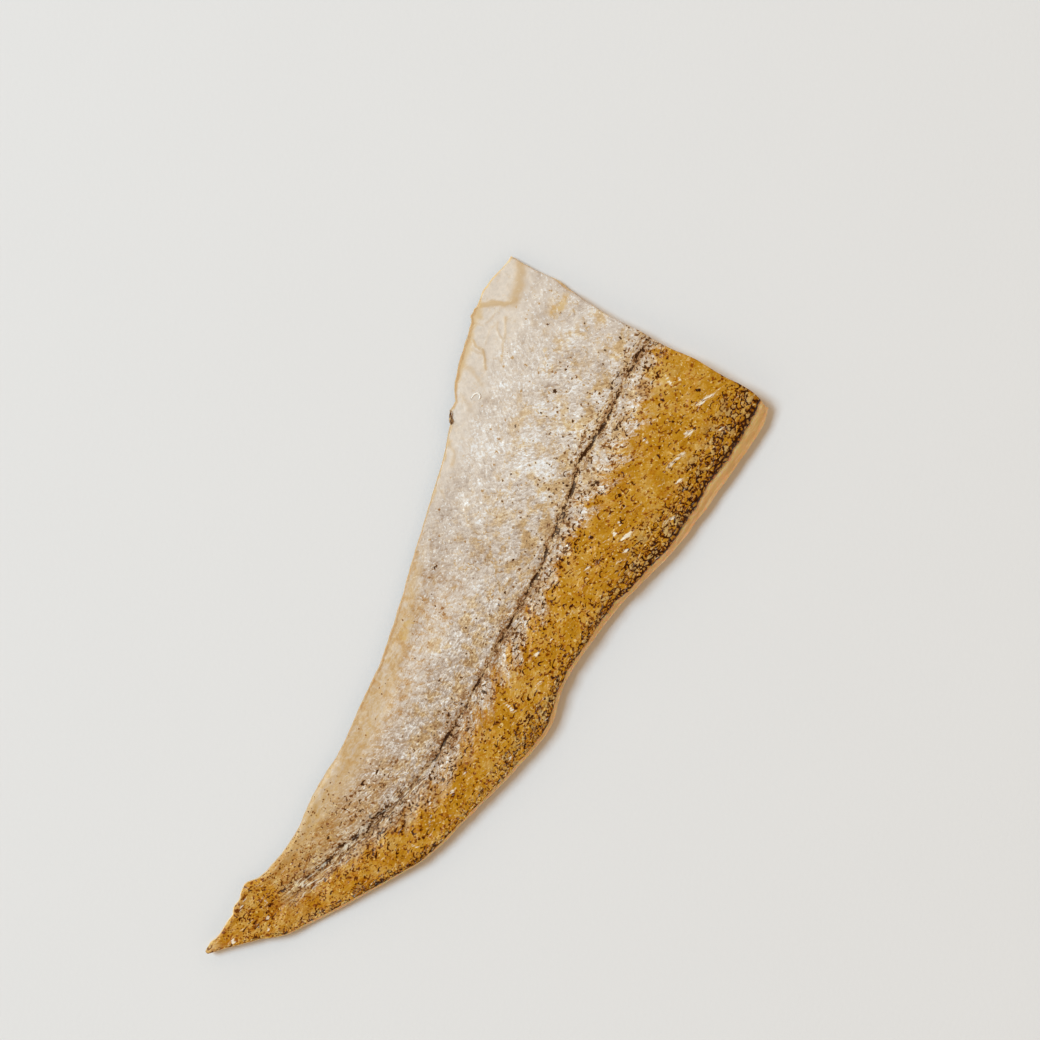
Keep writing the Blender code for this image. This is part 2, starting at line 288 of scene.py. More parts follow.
def uneven(x, y, size, seed):
    """Smooth uneven values from about -1 to 1, in bumps about as wide as size."""
    x, y = np.broadcast_arrays(np.asarray(x, float) / size, np.asarray(y, float) / size)
    i, j = np.floor(x).astype(np.int64), np.floor(y).astype(np.int64)
    u, v = x - i, y - j
    fade_u, fade_v = (t**3 * (t * (t * 6 - 15) + 10) for t in (u, v))

    def pull(di, dj):
        angle = 2 * np.pi * chance(i + di, j + dj, seed)
        return np.cos(angle) * (u - di) + np.sin(angle) * (v - dj)

    near = pull(0, 0) * (1 - fade_u) + pull(1, 0) * fade_u
    far = pull(0, 1) * (1 - fade_u) + pull(1, 1) * fade_u
    return 1.5 * (near * (1 - fade_v) + far * fade_v)


def ridges(x, y, size, seed):
    """Thin raised lines, 1 on the line and falling to 0 away from it."""
    return np.clip(1 - 3 * np.abs(uneven(x, y, size, seed)), 0, 1)


def ovals(x, y, spots):
    """Soft ovals laid over each other: 1 in the middle of a spot of strength 1."""
    field = np.zeros_like(x)
    for centre_x, centre_y, length, width, turn, strength in spots:
        c, s = math.cos(math.radians(turn)), math.sin(math.radians(turn))
        along = ((x - centre_x) * c + (y - centre_y) * s) * 2 / length
        across = ((y - centre_y) * c - (x - centre_x) * s) * 2 / width
        field = np.maximum(field, strength * np.exp(-((along**2 + across**2) ** 1.4)))
    return field


def near_folds(x, y):
    """1 on the folds beside the belly, falling to 0 away from them."""
    field = np.zeros_like(x)
    for width, strength, path in FOLDS:
        away = np.full_like(x, np.inf)
        for (ax, ay), (bx, by) in zip(path, path[1:]):
            dx, dy = bx - ax, by - ay
            share = np.clip(((x - ax) * dx + (y - ay) * dy) / math.hypot(dx, dy) ** 2, 0, 1)
            away = np.minimum(away, np.hypot(x - ax - share * dx, y - ay - share * dy))
        field = np.maximum(field, strength * hump(away, 0.6 * width))
    return field


def blurred(heights, cells):
    """Each value averaged with its neighbours along the first axis."""
    padded = np.pad(heights, ((cells, cells), (0, 0)), mode="reflect", reflect_type="odd")
    weights = np.hanning(2 * cells + 3)[1:-1]
    return sum(padded[k : k + len(heights)] * w for k, w in enumerate(weights)) / weights.sum()


class FilletPlan:
    """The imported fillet's edges and heights, in the plan's millimetres.

    A place is given by shares: s from the tail tip to the cut, t from the back to the belly,
    and reach from the rim of the skin (0) out to the fillet's outline (1).
    """

    STATIONS = 900
    CUT_STATIONS = 80
    MAP_CELLS = (300, 110)
    BLUR_CELLS = (4, 2)

    def __init__(self, node):
        points = np.array([vert.co for vert in node.data.vertices]) / MM
        tip = points[points[:, 0] < points[:, 0].min() + 0.05].mean(axis=0)
        self.origin = np.array((points[:, 0].min(), tip[1], 0.0))
        self.points = points - self.origin
        self.edges = np.array([edge.vertices[:] for edge in node.data.edges])
        self.length = self.points[:, 0].max()
        self.x_places = np.linspace(0.02, self.length - FLAT_END, self.STATIONS)
        back, belly = np.array([self.crossings(0, x) for x in self.x_places]).T
        self.back_y = back + profile(BACK_TRIM, self.x_places)
        self.belly_y = belly + profile(BELLY_TRIM, self.x_places)
        cut_t = np.linspace(0.01, 0.99, self.CUT_STATIONS)
        self.cut_y = self.back_y[-1] + (self.belly_y[-1] - self.back_y[-1]) * cut_t
        cut_x = np.array([self.crossings(1, y)[1] for y in self.cut_y])
        self.cut_x = cut_x + profile(CUT_TRIM, self.cut_y)
        self.cut_short = SKIN_SHORT + 0.7 * hump(self.cut_y - 6.5, 3.0)
        polygons = [polygon.vertices[:] for polygon in node.data.polygons]
        self.tree = BVHTree.FromPolygons([Vector(point) for point in self.points], polygons)
        self.top_map = self.height_map(reach=0, start=FAR_OFF)
        self.bottom_map = self.height_map(reach=0.7, start=-FAR_OFF)

    def crossings(self, axis, place):
        """Lowest and highest other coordinate where the mesh crosses the plane axis = place."""
        start, end = self.points[self.edges[:, 0]], self.points[self.edges[:, 1]]
        side = (start[:, axis] - place) * (end[:, axis] - place) < 0
        start, end = start[side], end[side]
        share = (place - start[:, axis]) / (end[:, axis] - start[:, axis])
        other = start[:, 1 - axis] + share * (end[:, 1 - axis] - start[:, 1 - axis])
        return other.min(), other.max()

    def back(self, x):
        return np.interp(x, self.x_places, self.back_y)

    def belly(self, x):
        return np.interp(x, self.x_places, self.belly_y)

    def skin_back(self, x):
        """The skin's rim along the back."""
        return self.back(x) + profile(SKIN_SHORT_OF_BACK, x)

    def place(self, s, t, reach):
        inset = 1 - reach
        cut_back = self.back_y[-1] + inset * profile(SKIN_SHORT_OF_BACK, self.length)
        cut_y = cut_back + (self.belly_y[-1] - cut_back) * t
        cut_inset = inset * np.interp(cut_y, self.cut_y, self.cut_short)
        x = s * (np.interp(cut_y, self.cut_y, self.cut_x) - cut_inset)
        tip = rise(x, 0, 3)
        belly = self.belly(x) - inset * SKIN_SHORT * tip
        back = self.back(x) + inset * profile(SKIN_SHORT_OF_BACK, x) * tip
        return x, back + (belly - back) * t

    def height_map(self, reach, start):
        """Heights on an even lattice of s and t, smoothed past the frame's flat faces."""
        s, t = np.meshgrid(*(np.linspace(0, 1, n + 1) for n in self.MAP_CELLS), indexing="ij")
        x, y = self.place(np.clip(s, 0.002, 0.999), np.clip(t, 0.01, 0.99), reach)
        inwards = Vector((0, 0, -math.copysign(1, start)))
        heights = np.zeros(s.shape)
        for i, j in np.ndindex(s.shape):
            hit = self.tree.ray_cast(Vector((x[i, j], y[i, j], start)), inwards)
            heights[i, j] = hit[0].z if hit[0] else heights[i, j - 1]
        along, across = self.BLUR_CELLS
        return blurred(blurred(heights, along).T, across).T

    def read(self, heights, s, t):
        """The height map at the shares s and t, between its lattice points."""
        u, v = s * self.MAP_CELLS[0], t * self.MAP_CELLS[1]
        i = np.clip(u.astype(int), 0, self.MAP_CELLS[0] - 1)
        j = np.clip(v.astype(int), 0, self.MAP_CELLS[1] - 1)
        u, v = u - i, v - j
        near = heights[i, j] * (1 - u) + heights[i + 1, j] * u
        far = heights[i, j + 1] * (1 - u) + heights[i + 1, j + 1] * u
        return near * (1 - v) + far * v

    def top(self, s, t):
        return self.read(self.top_map, s, t)

    def bottom(self, s, t):
        return np.maximum(self.read(self.bottom_map, s, t), 0)

    def to_frame(self, x, y, z):
        """Plan millimetres to the frame's metres."""
        return (np.stack((x, y, z), axis=-1) + self.origin) * MM


PLAN = FilletPlan(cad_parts[NODE])


def shade(color, share):
    """The colour made lighter or darker by a share."""
    return tuple(channel * share for channel in color)


def blend(a, b, share):
    return tuple(x + (y - x) * share for x, y in zip(a, b))


def count_setting(name, description, default):
    return bpy.props.IntProperty(name=name, description=description, default=default)


def number_setting(name, description, default, **details):
    return bpy.props.FloatProperty(name=name, description=description, default=default, **details)


def length_setting(name, description, default):
    return number_setting(name, description, default, unit="LENGTH")


def color_setting(name, description, default):
    return bpy.props.FloatVectorProperty(
        name=name, description=description, default=default, subtype="COLOR"
    )


class Value:
    """An output of a node, which can be added, multiplied and compared like a number."""

    def __init__(self, make, socket):
        self.make = make
        self.socket = socket

    def beside(self, name):
        """Another output of the same node."""
        return Value(self.make, self.socket.node.outputs[name])

    def __add__(self, other):
        return self.make.calc("ADD", self, other)

    def __sub__(self, other):
        return self.make.calc("SUBTRACT", self, other)

    def __rsub__(self, other):
        return self.make.calc("SUBTRACT", other, self)

    def __mul__(self, other):
        return self.make.calc("MULTIPLY", self, other)

    def __truediv__(self, other):
        return self.make.calc("DIVIDE", self, other)

    def __lt__(self, other):
        return self.make.calc("LESS_THAN", self, other)

    def __abs__(self):
        return self.make.calc("ABSOLUTE", self)

    __radd__ = __add__
    __rmul__ = __mul__


class NodeMaker:
    """Short calls for building the nodes of one material, or of the sky."""

    def __init__(self, owner):
        owner.use_nodes = True
        self.owner = owner
        self.tree = owner.node_tree
        self.place = None

    def add(self, kind, output, inputs, **settings):
        """Adds a node with its inputs and settings, and gives one of its outputs."""
        node = self.tree.nodes.new("ShaderNode" + kind)
        for name, value in settings.items():
            setattr(node, name, value)
        self.plug(node, inputs)
        return Value(self, node.outputs[output])

    def plug(self, node, inputs):
        for name, value in inputs.items():
            socket = node.inputs[name]
            if isinstance(value, Value):
                self.tree.links.new(value.socket, socket)
            elif socket.type == "RGBA":
                socket.default_value = (*value, 1.0)
            else:
                socket.default_value = value

    def finish(self, inputs, shader="Principled BSDF"):
        """Sets the shader's inputs and gives the finished material."""
        self.plug(self.tree.nodes[shader], inputs)
        return self.owner

    def fields(self, *names):
        """The single values stored on the mesh under these names."""
        return [self.add("Attribute", "Fac", {}, attribute_name=name) for name in names]

    def field(self, name):
        return self.fields(name)[0]

    def vector_field(self, name):
        return self.add("Attribute", "Vector", {}, attribute_name=name)

    def calc(self, operation, a, b=0.0):
        return self.add("Math", 0, {0: a, 1: b}, operation=operation)

    def vector_calc(self, operation, a, b=(0, 0, 0), output="Vector"):
        return self.add("VectorMath", output, {0: a, 1: b}, operation=operation)

    def heading(self, a, b):
        """The level direction from b to a."""
        away = self.vector_calc("SUBTRACT", a, b)
        return self.vector_calc("NORMALIZE", self.vector_calc("MULTIPLY", away, (1, 1, 0)))

    def highest(self, *values):
        result = values[0]
        for value in values[1:]:
            result = self.calc("MAXIMUM", result, value)
        return result

    def step(self, value, low, high):
        """0 at low and 1 at high, eased between."""
        inputs = {"Value": value, "From Min": low, "From Max": high}
        return self.add("MapRange", 0, inputs, interpolation_type="SMOOTHSTEP")

    def mix(self, share, a, b, mode="MIX"):
        return self.add("Mix", 2, {0: share, 6: a, 7: b}, data_type="RGBA", blend_type=mode)

    def mix_value(self, share, a, b):
        return self.add("Mix", 0, {0: share, 2: a, 3: b}, data_type="FLOAT")

    def ramp(self, value, *stops):
        """A colour for each value, blended between (place, colour) stops."""
        result = self.add("ValToRGB", "Color", {"Fac": value})
        elements = result.socket.node.color_ramp.elements
        while len(elements) < len(stops):
            elements.new(0.5)
        for element, (place, color) in zip(elements, stops):
            element.position = place
            element.color = (*color, 1.0)
        return result

    def noise(self, vector, scale, detail=2.0, roughness=0.5):
        inputs = {"Vector": vector, "Scale": scale, "Detail": detail, "Roughness": roughness}
        return self.add("TexNoise", "Fac", inputs)

    def stretched(self, vector, scale, turn=0):
        """The vector turned about Z by degrees, then scaled."""
        turned = {"Vector": vector, "Rotation": (0, 0, math.radians(turn))}
        scaled = {"Vector": self.add("Mapping", "Vector", turned), "Scale": scale}
        return self.add("Mapping", "Vector", scaled)

    def streaks(self, vector, scale, turn=0, detail=2.0, roughness=0.5):
        """Noise drawn out along a slant."""
        return self.noise(self.stretched(vector, scale, turn), 1.0, detail, roughness)

    def warped(self, vector, *pushes):
        """The vector pushed about by noise, once for each (scale, amount)."""
        for scale, amount in pushes:
            noise = self.add("TexNoise", "Color", {"Vector": vector, "Scale": scale, "Detail": 1.0})
            push = {0: self.vector_calc("SUBTRACT", noise, (0.5, 0.5, 0.5)), "Scale": 2 * amount}
            push = self.add("VectorMath", "Vector", push, operation="SCALE")
            vector = self.vector_calc("ADD", vector, push)
        return vector

    def cells(self, vector, scale=1.0, feature="F1"):
        """Distances in a pattern of uneven cells, worked out in the plan only."""
        inputs = {"Vector": vector, "Scale": scale}
        return self.add("TexVoronoi", "Distance", inputs, feature=feature, voronoi_dimensions="2D")

    def split(self, color):
        red = self.add("SeparateColor", "Red", {0: color})
        return red, red.beside("Green"), red.beside("Blue")

    def bump(self, *layers):
        """The surface bent by heights, each given with its depth in mm."""
        inputs = {}
        for height, depth in layers:
            inputs |= {"Height": height, "Distance": depth * MM}
            inputs["Normal"] = self.add("Bump", "Normal", inputs)
        return inputs["Normal"]


def material_maker(name):
    """A NodeMaker for a new material, with its place in millimetres."""
    make = NodeMaker(bpy.data.materials.new(name))
    place = {"Vector": make.add("TexCoord", "Object", {}), "Scale": (1 / MM, 1 / MM, 1 / MM)}
    make.place = make.add("Mapping", "Vector", place)
    return make


def flat_sheet(cells_along, cells_across):
    """A grid one unit square: x is the share s and y the share t, and z counts its rings."""
    bm = bmesh.new()
    bmesh.ops.create_grid(bm, x_segments=cells_along, y_segments=cells_across, size=0.5)
    bmesh.ops.translate(bm, vec=(0.5, 0.5, 0), verts=bm.verts)
    return bm


def sheet_shares(mesh):
    """(s, t, ring) of each vertex of a mesh made from a flat sheet."""
    s, t, ring = points_of(mesh).astype(float).T
    return np.clip(s, 0, 1), np.clip(t, 0, 1), np.round(ring)


def points_of(mesh):
    points = np.empty(len(mesh.vertices) * 3, np.float32)
    mesh.vertices.foreach_get("co", points)
    return points.reshape(-1, 3)


def set_points(mesh, points):
    mesh.vertices.foreach_set("co", points.astype(np.float32).ravel())
    mesh.update()


def set_field(mesh, name, values):
    layer = mesh.attributes.new(name, "FLOAT", "POINT")
    layer.data.foreach_set("value", values.astype(np.float32))


def set_places(mesh, name, x, y):
    layer = mesh.attributes.new(name, "FLOAT_VECTOR", "POINT")
    places = np.stack((x, y, np.zeros_like(y)), axis=-1)
    layer.data.foreach_set("vector", places.astype(np.float32).ravel())


def new_mesh(name, bm):
    mesh = bpy.data.meshes.new(name)
    bm.to_mesh(mesh)
    bm.free()
    return mesh


def link(name, data):
    piece = bpy.data.objects.new(name, data)
    bpy.context.scene.collection.objects.link(piece)
    return piece


def dress(name, mesh, material):
    """Makes a finished piece of the fillet from a mesh that already has its place."""
    mesh.shade_smooth()
    mesh.materials.append(material)
    piece = link(name, mesh)
    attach(piece, BODY)
    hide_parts(NODE)


def from_line(x, y):
    """Distance from the lateral line, positive towards the belly."""
    return y - along_curve(LATERAL_LINE, x)


def grain(x, y):
    """Plan places sheared so that the muscle folds, which slant back from the line, run straight."""
    d = from_line(x, y)
    away = np.minimum(np.abs(d), 40)
    head = rise(x, 105, 145)
    belly_lean = (1 - head) * (2.1 * away - 0.055 * away**2) + head * (0.9 * away - 0.022 * away**2)
    back_lean = (1 - head) * 1.2 * away + head * (0.4 * away - 0.075 * away**2)
    return x + np.where(d > 0, belly_lean, back_lean), d


def wandering_line(x, y):
    """Signed distance from the crack of the lateral line, which wanders about the line."""
    wander = 0.55 * uneven(x, 0, 7, 41) + 0.3 * uneven(x, 0, 2.2, 42) + 0.12 * uneven(x, 0, 0.9, 43)
    near_tail = hump(x - 44, 10)
    return from_line(x, y) + wander * (1 - 0.8 * near_tail) + 0.9 * near_tail


def zones(x, y):
    """Where each finish of the skin lies, from 0 to 1, by name."""
    rag = 1.6 * uneven(x, y, 5, 51) + 0.9 * uneven(x, y, 2.0, 52)
    d = from_line(x, y)
    top = along_curve(SILVER_TOP, x)
    from_back = y - PLAN.skin_back(x)
    far = rise(d, 9, 16) * fall(x, 108, 130)
    silky = between(d, 1, 4, 10, 14)
    silver = silver_share(x, y, rag)
    contrast = 2.6 - 0.4 * rise(x, 125, 150) + 0.6 * hump(silver - 0.45, 0.22) + 0.6 * hump(d, 5)
    contrast += 0.8 * silky * between(x, 50, 62, 105, 122) - 1.5 * far
    contrast -= 0.9 * rise(y, top - 16, top - 5) * rise(x, 112, 135) + 0.8 * rise(x, 174, 188)
    silver -= 0.14 * far * rise(x, 45, 65)
    sheen = profile(SHEEN, x) - 0.1 * hump(d, 4)
    sheen += 0.22 * hump(y + 9, 4.5) * between(x, 55, 75, 105, 125)
    sheen -= 0.16 * hump(d, 1.7) * (0.8 + uneven(x, 0, 6, 57)) * fall(x, 150, 175)
    margin_width = profile(MARGIN_WIDTH, x)
    margin = fall(PLAN.belly(x) - y + 0.7 * rag, 0.35 * margin_width, margin_width)
    stranded = np.maximum(hump(d, 3.2), 0.55 * hump(d, 11) * fall(x, 120, 140))
    spotted = 0.45 * rise(-d, -13, -1) + 0.14 * rise(-y, 0, 9) * rise(x, 130, 145)
    spotted *= rise(x, 40, 70) * fall(-d, 3, 9) * (0.7 + 0.9 * uneven(x, y, 7, 56))
    fibrous = rise(x, 18, 30) * (1 - 0.45 * rise(x, 112, 140))
    return {
        "silver": silver,
        "sheen": sheen,
        "contrast": contrast,
        "marked": marked_share(x, y, silver, silky),
        "stranded": stranded * rise(x, 18, 24) * (0.9 - 0.45 * rise(x, 55, 80)),
        "fibrous": fibrous * (1 - 0.7 * rise(y, top - 17, top - 3)),
        "membrane": rise(y + 1.1 * rag, top - 4.0, top + 1.4) * rise(x, 118, 140),
        "margin": margin * rise(x + rag, 22, 40) * fall(x, 104, 130),
        "net": fall(from_back / profile(NET_DEPTH, x) + 0.12 * rag, 0.35, 1.35),
        "upper": rise(y, top - 17, top - 9) * rise(x, 110, 150),
        "gold": fall(silver, 0.15, 0.5),
        "head": rise(x, 112, 142),
        "even": fall(x, 50, 88),
        "honeyed": honeyed_share(x, y, silver, top),
        "spotted": spotted,
        # where painted glints run along the lateral line near the tail
        "glint_share": hump(d + 0.2, 2.4) * between(x, 19, 27, 60, 78),
    }


def silver_share(x, y, rag):
    """Silver towards the belly, meeting the gold of the back in ragged stripes."""
    g, d = grain(x, y)
    gold_top, line = along_curve(GOLD_TOP, x), along_curve(LATERAL_LINE, x)
    stripes = 1.6 * uneven(g, 0.22 * d, 3.3, 53) * rise(-d, 0, 4)
    up = rise((y + rag + 2.2 * stripes - gold_top) / (line - gold_top), -0.25, 1.1)
    streak = hump(d - 0.5, 2.6) * between(x, 19, 26, 55, 80)
    return 0.1 + (profile(SILVER_LEVEL, x) - 0.1) * up + 0.3 * streak


def marked_share(x, y, silver, silky):
    """Dark dashes and dots: most beside the lateral line and over the gold."""
    d = from_line(x, y)
    marked = np.where(d > 0, hump(d, 3.5), hump(d + 4, 5.5)) * rise(x, 15, 40)
    marked *= 1 - 0.7 * rise(d, -0.8, 0.8) * between(x, 58, 70, 128, 142)
    on_gold = (0.62 - 0.1 * rise(x, 130, 150)) * fall(silver, 0.2, 0.7)
    on_silk = 0.5 * silky * between(x, 36, 44, 62, 76)
    marked = np.maximum.reduce((marked, on_gold, 0.6 * fall(x, 14, 45), on_silk))
    marked += 0.28 * fall(y - PLAN.skin_back(x), 3, 13) * rise(x, 60, 90)
    return np.clip(marked * (0.75 + 0.5 * uneven(x, y, 9, 55)), 0, 1)


def honeyed_share(x, y, silver, top):
    """Honey-coloured clouds: on the silver, but few near the belly and by the tail's line."""
    d = from_line(x, y)
    honeyed = 0.36 + 0.3 * hump(d - 4, 4) + 0.34 * rise(-d, 0.5, 5)
    honeyed += 0.25 * rise(x, 170, 184) * rise(d, 1, 5)
    honeyed *= 1 - 0.8 * rise(y, top - 14, top - 4) * rise(x, 112, 135)
    honeyed *= 1 - 0.35 * rise(d, 1, 3) * rise(x, 168, 178)
    honeyed *= 1 - 0.92 * fall(silver, 0.25, 0.62)
    return honeyed * (1 - 0.6 * hump(d, 4) * fall(x, 115, 140))


def skin_relief(x, y, s, t, zone):
    """Height of the dried skin's folds and wrinkles above the plain form, in mm."""
    g, d = grain(x, y)
    calm = 1 - 0.75 * zone["membrane"] - 0.35 * zone["margin"]
    broad = 0.16 * uneven(x, y, 15, 1) + 0.11 * uneven(x, y, 7, 2)
    folds = 0.17 * hump(d, 13) * uneven(g, 0.22 * d, 2.9, 3) + 0.1 * uneven(g, 0.3 * d, 5.5, 4)
    wrinkles = 0.075 * ridges(g, 0.35 * d, 2.1, 5) + 0.05 * uneven(g, 0.6 * d, 1.3, 6)
    crumple = 0.055 * uneven(x, y, 1.5, 7)
    lining = zone["membrane"] * (0.25 * near_folds(x, y) + 0.1 * uneven(x, y, 5, 9))
    opening = profile(CREASE_STRENGTH, x) * rise(uneven(x, 0, 4.5, 10), -0.55, 0.35)
    valley = 0.1 * hump(d, 2.0) + 0.4 * opening * hump(wandering_line(x, y), 0.55)
    valley *= rise(x, 12, 30)
    fill = (0.36 + 0.0019 * x) * hump(d, 2.3) - 0.2 * hump(d + 9, 6.5)
    rim = np.minimum(np.minimum(t, 1 - t) * 14, (1 - s) * 60)
    fade = rise(rim, -0.3, 1) * rise(x, 0, 14)
    return fade * (broad + calm * (folds + wrinkles + crumple) + lining + fill - valley)


class SkinSettings(bpy.types.PropertyGroup):
    """Sizes and colours of the dried skin."""

    cells_along: count_setting("Cells along", "Grid cells from the tail tip to the cut", 480)
    cells_across: count_setting("Cells across", "Grid cells from the back to the belly", 190)
    thickness: length_setting("Skin thickness", "Height of the skin's rim above the flesh", 0.35 * MM)
    relief: number_setting("Relief", "Share of the folds and wrinkles", 1.0, min=0, max=2)
    silver: color_setting("Silver", "Bright silver skin", (0.70, 0.60, 0.50))
    # Glint: the whitest silver skin, with painted glints, and the colour of its pale flecks.
    glint: color_setting("Glint", "White flecks of the silver skin", (0.88, 0.87, 0.845))
    mauve: color_setting("Mauve", "Dull silver skin", (0.41, 0.315, 0.245))
    gold: color_setting("Gold", "Mustard skin of the back", (0.53, 0.245, 0.010))
    ochre: color_setting("Ochre", "Lighter parts of the back", (0.66, 0.42, 0.12))
    deep_gold: color_setting("Deep gold", "Darker parts of the back", (0.40, 0.165, 0.006))
    warmth: color_setting("Warmth", "Warm tint of the tail's skin", (1.0, 0.945, 0.71))
    tan: color_setting("Tan", "Tail skin between gold and silver", (0.46, 0.27, 0.105))
    # Cream: colour of the painted highlights on the glossy wrinkles.
    cream: color_setting("Cream", "Glossy wrinkles on the back", (0.96, 0.88, 0.70))
    # Fleck: pale flecks on the gold, partly painted glints.
    fleck: color_setting("Fleck", "Pale flecks on the back", (0.83, 0.63, 0.28))
    honey: color_setting("Honey", "Tint of the thinnest pigment over the skin", (0.89, 0.70, 0.42))
    brown: color_setting("Brown", "Tint of thin pigment over the skin", (0.52, 0.28, 0.12))
    dusk: color_setting("Dusk", "Shade of the darker scale pockets", (0.36, 0.30, 0.24))
    dark: color_setting("Dark", "Tint of the thickest pigment", (0.080, 0.032, 0.009))
    lining: color_setting("Lining", "Smooth skin beside the belly", (0.76, 0.665, 0.56))
    tip: color_setting("Tip", "Dried web at the tail tip", (0.60, 0.43, 0.24))
    fold: color_setting("Fold", "Folds of the smooth skin", (0.64, 0.465, 0.275))
    straw: color_setting("Straw", "Pale margin of the tail's belly side", (0.68, 0.47, 0.22))
    amber: color_setting("Amber", "Thin translucent edges", (0.48, 0.26, 0.09))


def skin_sheet(settings):
    """The skin as a fine grid, with two rings that turn its rim down onto the flesh."""
    bm = flat_sheet(settings.cells_along, settings.cells_across)
    for _ring in range(2):
        rim = [edge for edge in bm.edges if edge.is_boundary]
        lower = bmesh.ops.extrude_edge_only(bm, edges=rim)["geom"]
        verts = [item for item in lower if isinstance(item, bmesh.types.BMVert)]
        bmesh.ops.translate(bm, vec=(0, 0, -1), verts=verts)
    return new_mesh("fillet_skin", bm)


def shape_skin(mesh, settings):
    """Moves the flat sheet to its place on the fillet and stores its finishes on it."""
    s, t, ring = sheet_shares(mesh)
    turned = -ring.astype(int)
    x, y = PLAN.place(s, t, np.take(RIM_REACH, turned) * rise(s, 0, 0.05))
    torn_back = 0.32 * uneven(x, 0, 3.1, 61) + 0.22 * uneven(x, 0, 1.1, 62)
    torn_belly = np.maximum(0.3 * uneven(x, 0, 2.3, 63) + 0.25 * uneven(x, 0, 0.9, 64), 0)
    y = y + torn_back * rise(x, 20, 60) * np.exp(-18 * t)
    y = y - torn_belly * rise(x, 20, 60) * np.exp(-25 * (1 - t))
    zone = zones(x, y)
    drop = np.take(RIM_DROP, turned) * settings.thickness / MM
    z = PLAN.top(s, t) + settings.relief * skin_relief(x, y, s, t, zone) - drop
    set_points(mesh, PLAN.to_frame(x, y, z))
    for name, values in (zone | skin_marks(x, y)).items():
        set_field(mesh, name, values)
    g, d = grain(x, y)
    set_places(mesh, "grain", g, d)
    set_places(mesh, "along", x, d)
    set_places(mesh, "pockets", *pocket_places(x, y - PLAN.skin_back(x)))
    store_bake_map(mesh, s, t, ring)


def skin_marks(x, y):
    """Where the single marks and edges of the skin lie, by name."""
    from_belly = PLAN.belly(x) - y
    straw = profile(STRAW_RIM, x)
    web = fall(x, 1.5, 5.0) * rise(y, -4.5, -1.5) + 0.45 * hump(x - 15, 3) * rise(y, -2.8, -1.2)
    bent_x, bent_y = x + 0.5 * uneven(x, y, 2.5, 71), y + 0.5 * uneven(x, y, 2.5, 72)
    straw_rim = fall(from_belly + 0.5 * uneven(x, y, 2.2, 73), 0.5 * straw, 1.3 * straw)
    return {
        "crack": wandering_line(x, y),
        "crease": profile(CREASE_STRENGTH, x),
        "pale": ovals(x, y, GLINT_STREAKS),
        "white_highlight": ovals(x, y, WHITE_HIGHLIGHTS),
        "stain": ovals(x, y, BROWN_STAINS),
        "cracks": ovals(x, y, CRACKS),
        "ochre": ovals(x, y, OCHRE_PATCHES),
        "tail": fall(x, 18, 62),
        "tip": web,
        "fold_lines": near_folds(bent_x, bent_y),
        "belly_edge": from_belly + 1.6 * (1 - profile(AMBER_RIM, x)),
        "straw_rim": straw_rim * rise(x, 118, 135),
        "back_edge": y - PLAN.skin_back(x),
        "dark_rim": profile(DARK_RIM, x),
    }


def pocket_places(x, from_back):
    """Places in which every scale pocket is one unit wide: they are larger towards the cut."""
    stations = np.linspace(0, 200, 401)
    pitch = profile(POCKET_WIDTH, stations)
    counted = np.concatenate(([0.0], np.cumsum(0.5 / pitch[1:])))
    return np.interp(x, stations, counted), from_back / profile(POCKET_ROW, x)


def store_bake_map(mesh, s, t, ring):
    """A texture layout of two strips: the tail half of the sheet below, the cut half above."""
    corners = np.empty(len(mesh.loops), np.int32)
    mesh.loops.foreach_get("vertex_index", corners)
    counts = np.array([polygon.loop_total for polygon in mesh.polygons])
    owner = np.repeat(np.arange(len(counts)), counts)
    middle = np.bincount(owner, s[corners]) / counts
    half = (middle[owner] > 0.5).astype(float)
    spread_s = s + 0.004 * ring * np.where(s < 0.5, 1, -1) * ((s == 0) | (s == 1))
    spread_t = t + 0.01 * ring * np.where(t < 0.5, 1, -1) * ((t == 0) | (t == 1))
    u = 0.02 + 0.96 * (spread_s[corners] * 2 - half)
    v = (0.03 + 0.94 * spread_t[corners] + half) / 2
    layer = mesh.uv_layers.new(name="OFBake")
    layer.data.foreach_set("uv", np.stack((u, v), axis=-1).astype(np.float32).ravel())


def flakes(make):
    """The silver skin's small facets: their painted light and shade (each lighter on the side towards the
    light and darker on the other) with a random tone of their own, and the distance from their rims.
    """
    place = make.warped(make.place, (0.45, 0.8), (1.7, 0.2))
    place = make.stretched(place, (0.85, 1.2, 1), 45)
    cell = make.cells(place)
    offset = make.vector_calc("SUBTRACT", place, cell.beside("Position"))
    # Painted light and shade: each facet lighter on the side towards the light, darker on the other.
    tilt = make.vector_calc("DOT_PRODUCT", offset, (0.5, 1.1, 0.0), "Value")
    own = make.split(cell.beside("Color"))[0] - 0.5
    return tilt + 0.8 * own, make.cells(place, 1.0, "DISTANCE_TO_EDGE")


def mottles(make):
    """Uneven values about 0: fibres along the muscle, slanting flecks and broad patches."""
    fibres = make.streaks(make.vector_field("grain"), (0.55, 0.3, 1), 0, 3.0, 0.65)
    near_tail = make.warped(make.vector_field("along"), (0.35, 0.6))
    near_tail = make.streaks(near_tail, (0.7, 2.0, 1), 0, 2.5, 0.75)
    near_cut = make.warped(make.place, (0.6, 0.6))
    near_cut = make.streaks(near_cut, (1.05, 2.0, 1), 42, 2.5, 0.75)
    by_belly = make.warped(make.place, (0.4, 0.7))
    by_belly = make.streaks(by_belly, (0.55, 1.9, 1), -48, 2.5, 0.75)
    flecks = make.mix_value(make.field("head"), near_tail, near_cut)
    flecks = make.mix_value(make.field("upper"), flecks, by_belly)
    return fibres - 0.5, flecks - 0.5, make.noise(make.place, 0.17, 2.0, 0.6) - 0.5


